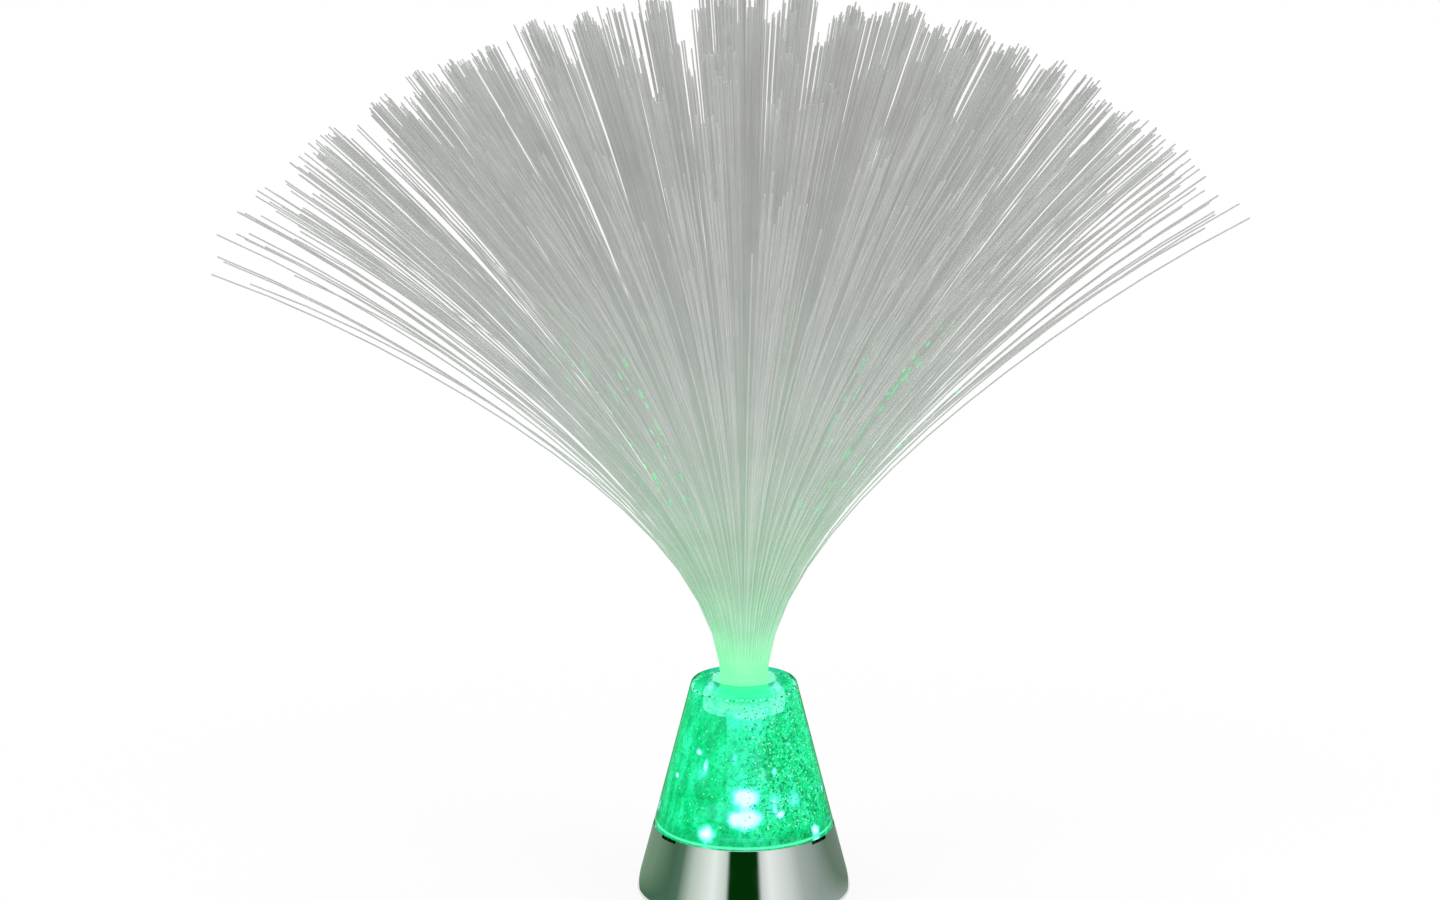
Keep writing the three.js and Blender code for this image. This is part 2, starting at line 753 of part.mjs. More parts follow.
// Crystal: the clear cone, its floor, the light guide and the glitter liquid
function crystalShell() {
  const rimCentreHeight = crystalTop - crystalRimRadius;
  const rimCentreRadius = crystalRadiusAt(rimCentreHeight) - crystalRimRadius;
  const lipCentre = at(socketRadius + socketLipRadius, crystalTop - socketLipRadius);
  const ceiling = crystalTop - crystalTopThickness;
  const body = revolve([
    at(0, socketUnderside),
    at(socketOuterRadius, socketUnderside),
    at(socketOuterRadius, ceiling),
    at(crystalInnerRadiusAt(ceiling), ceiling),
    at(crystalInnerRadiusAt(shellTop), shellTop),
    at(crystalRadiusAt(shellTop), shellTop),
    ...arc(at(rimCentreRadius, rimCentreHeight), crystalRimRadius, coneAngle, Math.PI / 2),
    ...arc(lipCentre, socketLipRadius, Math.PI / 2, Math.PI, 2),
    at(socketRadius, socketFloor),
    at(0, socketFloor),
  ]);
  const tabLow = crystalRadiusAt(shellTop) - crystalWall + seatGap;
  const tabWidth = slotWidth - 2 * seatGap;
  const tabs = slotAzimuths.map((azimuth) =>
    spoke(tabLow, tabLow + tabThickness, tabWidth, shellTop - tabDepth, shellTop + tabDepth, azimuth),
  );
  return join(body, ...tabs);
}

function crystalFloor() {
  const body = revolve([
    at(0, shellTop),
    at(crystalInnerRadiusAt(shellTop) - seatGap, shellTop),
    at(crystalInnerRadiusAt(crystalFloorTop) - seatGap, crystalFloorTop),
    at(0, crystalFloorTop),
  ]);
  const pockets = ledPlaces.map(({ x, y }) =>
    column(ledRadius + slideGap, shellTop - overrun, ledTop + seatGap, x, y, smallSides),
  );
  const { x, y } = around(fillPlugCircle, fillPlugAzimuth);
  const fillRadius = fillPlugRadius + seatGap;
  const fillHole = column(fillRadius, shellTop - overrun, crystalFloorTop + overrun, x, y, smallSides);
  return cut(body, ...pockets, fillHole);
}

function fillPlug() {
  const { x, y } = around(fillPlugCircle, fillPlugAzimuth);
  return column(fillPlugRadius, shellTop, crystalFloorTop, x, y, smallSides);
}

function lightGuide() {
  return column(lightGuideRadius, crystalFloorTop, socketUnderside);
}

function glitterLiquid() {
  const bottom = crystalFloorTop + seatGap;
  const guideSide = lightGuideRadius + seatGap;
  const socketSide = socketOuterRadius + seatGap;
  return revolve([
    at(guideSide, bottom),
    at(crystalInnerRadiusAt(bottom) - seatGap, bottom),
    at(crystalInnerRadiusAt(liquidTop) - seatGap, liquidTop),
    at(socketSide, liquidTop),
    at(socketSide, socketUnderside - seatGap),
    at(guideSide, socketUnderside - seatGap),
    at(guideSide, bottom),
  ]);
}

// Ferrule: a plug with a ledge that the potted fibres stand on
function ferrule() {
  return revolve([
    at(ferruleBore - ferruleLedgeWidth, socketFloor),
    at(ferruleRadius, socketFloor),
    at(ferruleRadius, ferruleTop),
    at(ferruleBore + ferruleMouthChamfer, ferruleTop),
    at(ferruleBore, ferruleTop - ferruleMouthChamfer),
    at(ferruleBore, pottingBottom),
    at(ferruleBore - ferruleLedgeWidth, pottingBottom),
    at(ferruleBore - ferruleLedgeWidth, socketFloor),
  ], mediumSides);
}

// Fibre spray. Each strand of a quarter stays in the upright plane through the quarter's inner corner and
// its own root, and leans out more the further out its root is, so that no two strands cross.
function fraction(value) {
  return value - Math.floor(value);
}

const strandInset = seatGap + strandRadius; // of the first roots, from a quarter's flat sides
const strandField = bundleRadius - strandRadius - 1.5 * strandInset; // radius that the roots fill

function strandRoot(index) {
  const radius = strandField * Math.sqrt((index + 0.5) / strandsPerQuarter);
  const azimuth = (2 * Math.PI / quarters) * fraction(index * goldenShare);
  return around(radius, azimuth);
}

// Rings of three points along a strand that bends outward by its lean and sags by its droop
function addStrand(index, positions, indices) {
  const root = strandRoot(index);
  const outward = root.length() / strandField;
  const jitter = fraction(index * plasticShare) - 0.5;
  const evenLean = steadyLeanShare * outward;
  const outerLean = (1 - steadyLeanShare) * outward ** outerLeanPower;
  const leanShare = (evenLean + outerLean) * (1 + leanJitterShare * jitter);
  const shortening = outerShorteningShare * outward + lengthJitterShare * (jitter + 0.5) * outward;
  const length = strandRootDepth + strandLength * (1 - shortening);
  const segments = fewestSegments + Math.round(moreSegments * leanShare);
  const away = root.clone().normalize();
  const first = positions.length / 3;
  const start = root.clone().addScalar(strandInset);
  const point = new THREE.Vector3(start.x, start.y, pottingTop - strandRootDepth);
  const angleAt = (run) =>
    leanShare * (largestLean * (1 - Math.exp(-run / bendLength)) + largestDroop * (run / length) ** 3);
  let run = 0;
  for (let ring = 0; ring <= segments; ring += 1) {
    const ringRun = length * (ring / segments) ** ringSpacingPower;
    const step = (ringRun - run) / pathSteps;
    for (let i = 0; i < pathSteps && ring > 0; i += 1) {
      const angle = angleAt(run + step / 2);
      point.x += away.x * step * Math.sin(angle);
      point.y += away.y * step * Math.sin(angle);
      point.z += step * Math.cos(angle);
      run += step;
    }
    const angle = angleAt(run);
    const across = new THREE.Vector3(away.x * Math.cos(angle), away.y * Math.cos(angle), -Math.sin(angle));
    const sideways = new THREE.Vector3(-away.y, away.x, 0);
    for (let corner = 0; corner < strandSides; corner += 1) {
      const turn = (corner / strandSides) * 2 * Math.PI;
      const place = point.clone();
      place.addScaledVector(across, strandRadius * Math.cos(turn));
      place.addScaledVector(sideways, strandRadius * Math.sin(turn));
      positions.push(...place.toArray());
    }
  }
  addTube(first, segments, indices);
}

// Faces of a closed tube whose rings of strandSides points follow each other from a first point
function addTube(first, segments, indices) {
  const last = first + segments * strandSides;
  for (let ring = 0; ring < segments; ring += 1) {
    for (let corner = 0; corner < strandSides; corner += 1) {
      const a = first + ring * strandSides + corner;
      const b = first + ring * strandSides + ((corner + 1) % strandSides);
      indices.push(a, b, b + strandSides, a, b + strandSides, a + strandSides);
    }
  }
  for (let corner = 1; corner < strandSides - 1; corner += 1) {
    indices.push(first, first + corner + 1, first + corner);
    indices.push(last, last + corner, last + corner + 1);
  }
}

function sprayQuarter(quarter) {
  const inset = seatGap / 2;
  const start = Math.asin(inset / bundleRadius);
  const outline = [at(inset, inset), ...arc(at(0, 0), bundleRadius, start, Math.PI / 2 - start)];
  const potting = prism(outline, pottingBottom, pottingTop);
  const positions = [];
  const indices = [];
  for (let index = 0; index < strandsPerQuarter; index += 1) addStrand(index, positions, indices);
  const strands = new THREE.BufferGeometry();
  strands.setAttribute('position', new THREE.Float32BufferAttribute(positions, 3));
  strands.setIndex(indices);
  const geometry = geometryOf(potting.add(solid(strands)));
  return geometry.rotateZ(quarter * 2 * Math.PI / quarters);
}

// The lamp
const lamp = new THREE.Group();

function add(name, shape, finish) {
  const geometry = shape instanceof THREE.BufferGeometry ? shape : geometryOf(shape);
  const mesh = new THREE.Mesh(geometry, finish);
  mesh.name = name;
  lamp.add(mesh);
}

function addEach(name, places, shape, finish) {
  places.forEach((place, index) => add(`${name}_${index + 1}`, shape(place, index), finish));
}

const footPlaces = [-1, 1].flatMap((x) => [-1, 1].map((y) => at(x * footX, y * footY)));
const cellPlaces = [-cellPitch, 0, cellPitch];

add('base_shell', baseShell(), finishes.chrome);
add('bottom_plate', bottomPlate(), finishes.blackPlastic);
addEach('foot', footPlaces, ({ x, y }) => column(footRadius, 0, footHeight, x, y), finishes.rubber);
addEach('plate_screw', plateBossPlaces, plateScrew, finishes.screwSteel);
add('battery_door', batteryDoor(), finishes.blackPlastic);
add('door_screw', screw(at(doorScrewX, 0), screwHeadTop, doorScrewLength), finishes.screwSteel);
addEach('battery', cellPlaces, (y, index) => cell(y, index === 1 ? -1 : 1), finishes.cellSleeve);
addEach('battery_spring', cellPlaces, (y, index) => spring(index === 1 ? 1 : -1, y), finishes.contactSteel);
add('contact_negative', contact(-1, -cellPitch, -cellPitch, []), finishes.contactSteel);
add('contact_bridge_1', contact(1, -cellPitch, 0, [-cellPitch]), finishes.contactSteel);
add('contact_bridge_2', contact(-1, 0, cellPitch, [0]), finishes.contactSteel);
add('contact_positive', contact(1, cellPitch, cellPitch, [cellPitch]), finishes.contactSteel);
add('switch_body', switchBody(), finishes.blackPlastic);
add('switch_knob', switchKnob(), finishes.whitePlastic);
add('led_board', ledBoard(), finishes.circuitBoard);
addEach('board_screw', postPlaces, boardScrew, finishes.screwSteel);
addEach('led', ledPlaces, led, finishes.led);
add('controller_chip', chip(), finishes.chip);
addEach('resistor', Array(resistorCount).fill(0), (_, index) => resistor(index), finishes.resistor);
add('reflector_plate', reflector(), finishes.whitePlastic);
add('wire_red', redWire(), finishes.redWire);
add('wire_black', blackWire(), finishes.blackWire);
add('wire_yellow', yellowWire(), finishes.yellowWire);
add('crystal_shell', crystalShell(), finishes.clearCrystal);
add('crystal_floor', crystalFloor(), finishes.clearAcrylic);
add('fill_plug', fillPlug(), finishes.rubber);
add('light_guide', lightGuide(), finishes.clearAcrylic);
add('glitter_liquid', glitterLiquid(), finishes.glitterLiquid);
add('fibre_ferrule', ferrule(), finishes.milkyPlastic);
addEach('fibre_spray', Array(quarters).fill(0), (_, index) => sprayQuarter(index), finishes.fibre);

export default lamp;
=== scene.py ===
# Looks of a fibre optic table lamp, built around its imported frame. Metres, +Z up, the front is -Y.
import math

import bmesh
import bpy
import numpy as np
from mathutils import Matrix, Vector


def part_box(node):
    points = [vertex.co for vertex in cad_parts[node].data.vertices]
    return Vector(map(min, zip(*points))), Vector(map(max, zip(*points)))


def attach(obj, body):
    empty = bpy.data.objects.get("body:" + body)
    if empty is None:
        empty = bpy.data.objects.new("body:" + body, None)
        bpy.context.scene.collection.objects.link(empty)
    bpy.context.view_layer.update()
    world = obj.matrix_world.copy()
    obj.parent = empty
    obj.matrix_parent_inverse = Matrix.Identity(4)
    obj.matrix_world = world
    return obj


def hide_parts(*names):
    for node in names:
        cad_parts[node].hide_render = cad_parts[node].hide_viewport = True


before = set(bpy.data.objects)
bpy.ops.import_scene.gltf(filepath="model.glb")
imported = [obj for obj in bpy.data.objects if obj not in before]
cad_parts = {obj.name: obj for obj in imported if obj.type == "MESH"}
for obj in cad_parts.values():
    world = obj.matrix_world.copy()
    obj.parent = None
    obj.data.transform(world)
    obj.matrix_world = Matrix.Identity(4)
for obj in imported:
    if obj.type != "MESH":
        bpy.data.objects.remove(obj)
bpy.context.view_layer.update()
MM = 0.001
WHOLE_TURN = 2 * math.pi
GOLDEN_ANGLE = math.pi * (3 - math.sqrt(5))

# Places read from the frame
SPRAY_NODES = [f"fibre_spray_{i}" for i in range(1, 5)]
shell_low, shell_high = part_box("base_shell")
liquid_low, liquid_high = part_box("glitter_liquid")
floor_low, floor_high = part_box("crystal_floor")
spray_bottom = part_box(SPRAY_NODES[0])[0].z
crystal_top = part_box("crystal_shell")[1].z
ferrule_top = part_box("fibre_ferrule")[1].z
guide_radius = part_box("light_guide")[1].x
plate_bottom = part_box("foot_1")[1].z

# Chrome shell, as in the construction
CONE_ANGLE = math.atan(0.26)
LOWER_EDGE_RADIUS = 2.8 * MM
SHELL_WALL = 2.2 * MM
SHELL_MOUTH = 36.3 * MM
DECK_THICKNESS = 2 * MM
DECK_OPENING = 26 * MM
PLATE_THICKNESS = 2 * MM
CHROME_LIP = 0.35 * MM
SHELL_TOP = shell_high.z
WIDEST_RADIUS = shell_high.x
EDGE_CENTRE = (WIDEST_RADIUS - LOWER_EDGE_RADIUS, shell_low.z + LOWER_EDGE_RADIUS)
PLATE_TOP = plate_bottom + PLATE_THICKNESS

# Slots in the chrome's edge, and the crystal's tabs in them
SLOT_AZIMUTHS = [math.radians(a) for a in (215, 325, 90)]
SLOT_WIDTH = 9.4 * MM
SLOT_DEPTH = 1.1 * MM
TAB_THICKNESS = 1 * MM
TAB_DEPTH = 0.7 * MM

# Crystal, as in the construction
CRYSTAL_SETBACK = 0.2 * MM
CRYSTAL_WALL = 2.2 * MM
RIM_RADIUS = 3 * MM
SOCKET_RADIUS = 11.35 * MM
SOCKET_DEPTH = 10 * MM
SOCKET_WALL = 1.5 * MM
SOCKET_LIP = 0.6 * MM
SOCKET_UNDERSIDE = crystal_top - SOCKET_DEPTH - SOCKET_WALL

# Gaps, and how fine the meshes are
SEAT_GAP = 0.3 * MM
CONTACT_GAP = 0.05 * MM
WELD_DISTANCE = 0.001 * MM
CONE_SIDES = 192
LIQUID_SIDES = 144
ROOT_SIDES = 96
SLOT_SIDES = 12
BALL_SIDES = 8
WALL_SIDES = 120
EDGE_STEPS = 14
LIP_STEPS = 6
SMOOTH_DEGREES = 32
TUBE_SMOOTH_DEGREES = 60

# Glitter and bubbles
GLITTER_SEED = 11
EDGE_MARGIN = 1.5 * MM
FLAKE_ANGLES = [i * math.pi / 3 for i in range(6)]
FLAKE_HALF = 0.015 * MM
SMALLEST_FLAKE, LARGEST_FLAKE = 0.1 * MM, 0.32 * MM
FLAKE_DEPTH_SHARES = (0.2, 0.75)
FLAKE_TILT_SHARE = 0.12
# name, number of flakes, colour, strength of their glow and the share of the left ones put at the right
GLITTER = [
    ("glitter_gold", 640, (232, 172, 84), 1.9, 0.8),
    ("glitter_dark", 1700, (14, 104, 58), 0.25, 0.7),
    ("glitter_bright", 900, (110, 255, 204), 0.9, 0.6),
]
BUBBLE_COUNT = 130
BUBBLE_RADIUS = 0.5 * MM
LEAST_BUBBLE_SHARE = 0.5
BUBBLE_DROP = 0.7 * MM
BUBBLE_INSET = 0.12 * MM

# Fibres: their course, and how they lean
FIBRE_COUNT = 2400
FIBRE_SEED = 3
FIBRE_RADIUS = 0.27 * MM
FIBRE_SIDES = 4
FIBRE_STEPS = 60
FIBRE_RINGS = 15
FIBRE_SPACING_POWER = 1.25
FIBRE_DEPTH = 2 * MM
FIBRE_BOTTOM = ferrule_top - FIBRE_DEPTH
FIBRE_LENGTH = 253 * MM
LENGTH_SCATTER_SHARE = 0.018
BUNDLE_RADIUS = 8.3 * MM
ROOT_RADIUS = 8.8 * MM
ROOT_RISE = 0.4 * MM
BEND_LENGTH = 49 * MM
LARGEST_LEAN = math.radians(58)
LARGEST_DROOP = math.radians(12)
DROOP_POWER = 3
STEADY_LEAN_SHARE = 0.76
OUTER_LEAN_POWER = 18
STIFF_SHARE, RIGHT_STIFF_SHARE = 0.02, 0.1
# A direction that no fibre runs along; the sides of the tubes are worked out from it
SIDE_AXIS = (0.31, 0.95, 0.02)

# Tufts that the fibres gather into, and the tufts with lit fibres
TUFT_COUNT = 175
TUFT_SEED = 5
TUFT_SCATTER_SHARE = 0.03
TUFT_SHORTENING_SHARE = 0.024
LEAST_PULL_SHARE, MOST_PULL_SHARE = 0.57, 0.95
LOOSE_POWER = 14
AIM_SCATTER_SHARE = 0.005
LIT_SEED = 4
LIT_PER_TUFT = 6
LIT_SPREAD_SHARE = 0.03
# azimuth in degrees and distance from the middle, as a share of the bundle's radius
LIT_TUFTS = [
    (-90, 0.55), (-75, 0.75), (-100, 0.8), (-52, 0.85), (-24, 0.93), (-18, 0.9), (-122, 0.85), (-140, 0.9),
    (-65, 0.4), (10, 0.9), (45, 0.8), (80, 0.7), (110, 0.85), (140, 0.7), (165, 0.9), (190, 0.85),
]

# Noise: how detailed it is, and its levels between which a roughness changes
NOISE_DETAIL = 3.0
NOISE_LEVELS = (0.3, 0.7)
CHROME_SMEAR_LEVELS = (0.35, 0.7)
CRYSTAL_SMEAR_LEVELS = (0.3, 0.8)

# Chrome, and the clear crystal over it
CHROME_COLOUR = (214, 218, 216)
CHROME_BUMP = 0.02 * MM
# The second colour is painted shade: the dark green that the crystal turns at its edges
CRYSTAL_TINT, CRYSTAL_EDGE_SHADE = (0.05, 0.87, 0.5, 1.0), (0.0, 0.2, 0.07, 1.0)
# The tabs' near-black tint is painted shade, for the dark down in the chrome's slots
SOCKET_TINT, TAB_SHADE_TINT = (0.9, 1.0, 0.95, 1.0), (0.0, 0.04, 0.012, 1.0)
# Distances from the lamp's axis, between which the socket's tint gives way to the cone's
SOCKET_TINT_SPAN = (11.8 * MM, 12.1 * MM)
EDGE_BLEND, EDGE_LEVELS = 0.5, (0.55, 0.98)
CRYSTAL_IOR = 1.14
CRYSTAL_BUMP = 0.1 * MM

# Liquid: its tones, its fine grain and the bright stretch round the light guide and under the socket.
# The spans of the lining, skin, core, top and ferrule are heights over the socket's underside.
LIQUID_COLOUR = (4, 50, 28)
LIQUID_ROUGHNESS = 0.35
LIQUID_STRENGTH = 1.0
LIQUID_TONES = [(0.34, (0.0, 0.5, 0.16)), (0.5, (0.0, 0.86, 0.33)), (0.66, (0.15, 1.1, 0.7))]
CLOUD_SCALE, CLOUD_SQUEEZE_SHARE = 260, 0.3
GRAIN_SCALE = 800
# The dark colour serves both the liquid's dark grains and the painted shade just over the crystal's floor
GRAIN_AND_SHADE_DARK, GRAIN_BRIGHT = (0.0, 0.1, 0.03, 1.0), (0.35, 1.2, 0.8, 1.0)
DARK_GRAIN_LEVELS, DARK_GRAIN_SHARE = (0.38, 0.47), 0.9
BRIGHT_GRAIN_LEVELS, BRIGHT_GRAIN_SHARE = (0.57, 0.66), 0.7
# Places from left to right, between which the grain grows to its full strength
GRAIN_SPAN, LEFT_GRAIN_SHARE = (-15 * MM, 18 * MM), 0.4
# Painted light: the glow of the light guide in the liquid's core, and brighter painted highlights in blots
# under the socket
CORE_TONE, LINING_HIGHLIGHT_TONE = (0.42, 1.25, 1.15, 1.0), (1.9, 1.5, 1.7, 1.0)
# Distances from the lamp's axis, between which the core gives way to the skin
CORE_SIDE_SPAN = (13.3 * MM, 13.8 * MM)
LINING_SCALE, LINING_LEVELS = 210, (0.38, 0.6)
LINING_SPAN = (-4 * MM, -1 * MM)
# A painted highlight: a bright line along the foot of the crystal's floor, its height and its tone
FOOT_HIGHLIGHT, FOOT_HIGHLIGHT_TONE = 0.8 * MM, (1.0, 1.6, 1.1, 1.0)
# Painted shade just over the crystal's floor: how high it reaches, and how much of the dark colour it takes
FOOT_SHADE, FOOT_SHADE_SHARE = 1.2 * MM, 0.3

# How much the liquid covers: its skin, its core, its lining round the socket and its top
SKIN_ALPHA_SHARE, TOP_SKIN_ALPHA_SHARE = 0.72, 0.45
CORE_ALPHA_SHARE, LINING_ALPHA_SHARE, TOP_ALPHA_SHARE = 0.9, 0.6, 0.1
SKIN_SPAN = (-4 * MM, 0)
CORE_SPAN = (-2 * MM, 0)
TOP_SPAN = (3 * MM, 6 * MM)

# Images of the lit domes in the liquid
LED_STRENGTH = 9.0
HALO_TONE, SPOT_TONE = (0.5, 1.35, 1.5, 1.0), (5.0, 2.1, 2.9, 1.0)
HALO_LEVELS, SPOT_LEVELS = (0.0, 0.4), (0.14, 1.0)
SPOT_FALLOFF_POWER = 1.5
RAGGED_EDGE, RAGGED_SCALE, RAGGED_LEVELS = 0.35 * MM, 420, (0.35, 0.65)
# azimuth in degrees, height, reach and level of each bright spot; the low levels are soft patches
LIGHT_SPOTS = [
    (-92, 45 * MM, 5.6 * MM, 1), (-85, 44.8 * MM, 5.6 * MM, 1), (-97, 37.6 * MM, 4.8 * MM, 0.8),
    (-90, 37.2 * MM, 6.8 * MM, 1), (-83, 37.8 * MM, 5.6 * MM, 0.9), (-117, 31.6 * MM, 5.4 * MM, 1),
    (-32, 29.6 * MM, 3.6 * MM, 1), (-62, 38.5 * MM, 2.6 * MM, 1), (-135, 59 * MM, 2 * MM, 1),
    (-158, 48 * MM, 1.8 * MM, 1), (-4, 41 * MM, 2.4 * MM, 1), (-66, 43.5 * MM, 6 * MM, 0.3),
    (-48, 42.5 * MM, 7 * MM, 0.32), (-128, 52 * MM, 6 * MM, 0.22), (24, 33 * MM, 4.6 * MM, 1),
    (33, 42 * MM, 5.6 * MM, 1), (84, 37 * MM, 6.4 * MM, 1), (92, 44 * MM, 5.2 * MM, 1),
    (176, 33 * MM, 4.2 * MM, 1), (140, 44 * MM, 7 * MM, 0.3),
]
# The same for upright streaks, which reach further up and down than sideways
STREAK_SQUEEZE_SHARE = 0.3
LIGHT_STREAKS = [
    (-125, 54.8 * MM, 1.5 * MM, 0.45), (-63, 53.5 * MM, 1.5 * MM, 0.45), (-66, 40.5 * MM, 1.6 * MM, 0.5),
    (-98, 58 * MM, 1.5 * MM, 0.3), (60, 50 * MM, 1.6 * MM, 0.45),
]

# Glitter flakes and bubbles
FLAKE_GLINT = (255, 255, 240)
FLAKE_METALLIC_SHARE = 0.9
BUBBLE_COLOUR, BUBBLE_STRENGTH = (30, 120, 80), 0.9
# A painted highlight that varies from bubble to bubble, from none to bright
BUBBLE_HIGHLIGHT_TONES = [(0.42, (0.0, 0.12, 0.06)), (0.56, (1.6, 1.3, 1.4))]

# Fibres: grey strands, their glow as a share of the reach of the light, and the green streaks on some
GLOW_REACH = 250 * MM
FIBRE_TONES = [(0.3, (141, 144, 140)), (0.7, (160, 163, 159))]
# The glow's grey end is painted light, lifting the fibres out of the shade they cast on each other
FIBRE_GLOW = [
    (0.0, (0.08, 0.74, 0.29)), (0.048, (0.06, 0.66, 0.23)), (0.112, (0.15, 0.42, 0.23)),
    (0.184, (0.19, 0.34, 0.22)), (0.34, (0.235, 0.305, 0.25)), (0.52, (0.235, 0.252, 0.24)),
    (0.8, (0.195, 0.193, 0.19)), (1.0, (0.18, 0.178, 0.178)),
]
GREEN_STREAK_COLOUR = (20, 232, 128)
GREEN_STREAK_SCALE, GREEN_STREAK_LEVELS = 260, (0.52, 0.62)
GREEN_STREAK_REACH = [(0.0, 0.0), (0.19, 0.2), (0.29, 1.0), (0.56, 0.9), (0.66, 0.0)]

# Ferrule, moulded parts, metals and cells
FERRULE_COLOUR = (60, 190, 120)
FERRULE_LOW_TONE, FERRULE_TOP_TONE = (0.3, 0.72, 0.56, 1.0), (0.2, 0.9, 0.46, 1.0)
FERRULE_DIM_TONE, FERRULE_LEVELS = (0.14, 0.6, 0.38, 1.0), (0.35, 0.62)
FERRULE_TOP_SPAN = (5.5 * MM, 8 * MM)
MOULD_LIGHT_SHARE, MOULD_LIGHT_MORE = 1.25, 0.004
MOULD_BUMP, METAL_BUMP = 0.05 * MM, 0.03 * MM
CELL_HALF = 24 * MM
CELL_BANDS = [(0.0, (176, 178, 180)), (0.03, (46, 92, 132)), (0.3, (28, 34, 40)), (0.97, (176, 178, 180))]
GUIDE_COLOUR, GUIDE_GLOW = (110, 220, 190), (120, 235, 200)
GUIDE_STRENGTH = 0.5
GUIDE_IOR = 1.45
LED_COLOUR = (226, 255, 246)
# name, colour, least and most roughness of each moulded or painted finish, and how fine its grain is
MOULDED = {
    "black_plastic": ("black_moulding", (26, 27, 29), 0.42, 0.6, 900),
    "white_plastic": ("white_moulding", (228, 230, 226), 0.35, 0.5, 900),
    "rubber": ("rubber_feet", (38, 39, 41), 0.75, 0.92, 1500),
    "circuit_board": ("circuit_board", (28, 92, 56), 0.35, 0.5, 1300),
    "component": ("component_body", (32, 32, 35), 0.35, 0.55, 900),
    "red_wire": ("red_insulation", (178, 34, 28), 0.35, 0.5, 900),
    "black_wire": ("black_insulation", (28, 28, 30), 0.35, 0.5, 900),
    "yellow_wire": ("yellow_insulation", (206, 164, 32), 0.35, 0.5, 900),
}
METALS = {
    "screw_steel": ("screw_steel", (165, 168, 172), 0.25, 0.45),
    "contact_steel": ("contact_steel", (196, 198, 194), 0.2, 0.35),
}
# The finish of each of the frame's own pieces, by the start of its name
FINISHES = {
    "crystal_floor": "lit_acrylic", "light_guide": "clear_acrylic", "fibre_ferrule": "milky_plastic",
    "bottom_plate": "black_plastic", "battery_door": "black_plastic", "switch_body": "black_plastic",
    "switch_knob": "white_plastic", "reflector_plate": "white_plastic", "foot": "rubber",
    "fill_plug": "rubber", "plate_screw": "screw_steel", "door_screw": "screw_steel",
    "board_screw": "screw_steel", "battery_spring": "contact_steel", "contact": "contact_steel",
    "battery": "cell_sleeve", "led_board": "circuit_board", "controller_chip": "component",
    "resistor": "component", "led": "led_lens", "wire_red": "red_wire", "wire_black": "black_wire",
    "wire_yellow": "yellow_wire",
}

# Camera, lamps and the room around the lamp
LENS, SENSOR_WIDTH = 65.3, 36
CAMERA_PLACE = (0, -0.923, 0.338)
CAMERA_TARGET = (-0.00877, 0, 0.1669)
WORLD_STRENGTH = 0.58
FLOOR_HALF = 3
FLOOR_COLOUR, FLOOR_ROUGHNESS = (246, 246, 245), 0.8
FLOOR_WHITE_SHARE = 0.88
FLOOR_SHADE_REACH, FLOOR_WHITE_REACH = 0.12, 0.4
UNDER_BASE_REACH = 35 * MM
LIGHT_TARGET = (0, 0, 0.17)
# name, place, width and watts of each lamp
STUDIO_LAMPS = [
    ("lamp_left", (-1.1, -0.9, 0.9), 0.9, 9),
    ("lamp_right", (1.1, -0.9, 0.9), 0.9, 9),
    ("lamp_top", (0, 0.1, 1.5), 0.8, 6),
]
WALL_RADIUS = 1.2
WALL_TOP = 1.6
WALL_SPREAD = 180
CARD_HEIGHT = 0.5 * MM
CARD_INNER_SHARE = 0.04
CARD_LEVEL = 1.5
# azimuth in degrees from the front, and colour, of each stretch of the cards
# The greens in the darker stretches are painted green light from the crystal, for the chrome to reflect
WALL_TONES_WITH_GREEN_LIGHT = [
    (-180, (8, 66, 34)), (-164, (30, 84, 52)), (-150, (120, 140, 124)), (-116, (104, 132, 108)),
    (-90, (66, 98, 76)), (-76, (78, 108, 88)), (-60, (176, 188, 178)), (-34, (226, 230, 226)),
    (-20, (190, 200, 192)), (-16, (2, 44, 6)), (16, (2, 44, 6)), (20, (196, 200, 198)),
    (30, (226, 228, 226)), (52, (196, 200, 198)), (68, (158, 166, 162)), (90, (136, 148, 142)),
    (112, (96, 114, 99)), (150, (110, 126, 114)), (164, (30, 84, 52)), (180, (8, 66, 34)),
]


def srgb(red, green, blue):
    """A colour written in 0 to 255, as Blender's linear numbers."""
    def linear(value):
        value /= 255
        return value / 12.92 if value <= 0.04045 else ((value + 0.055) / 1.055) ** 2.4
    return tuple(linear(v) for v in (red, green, blue)) + (1.0,)


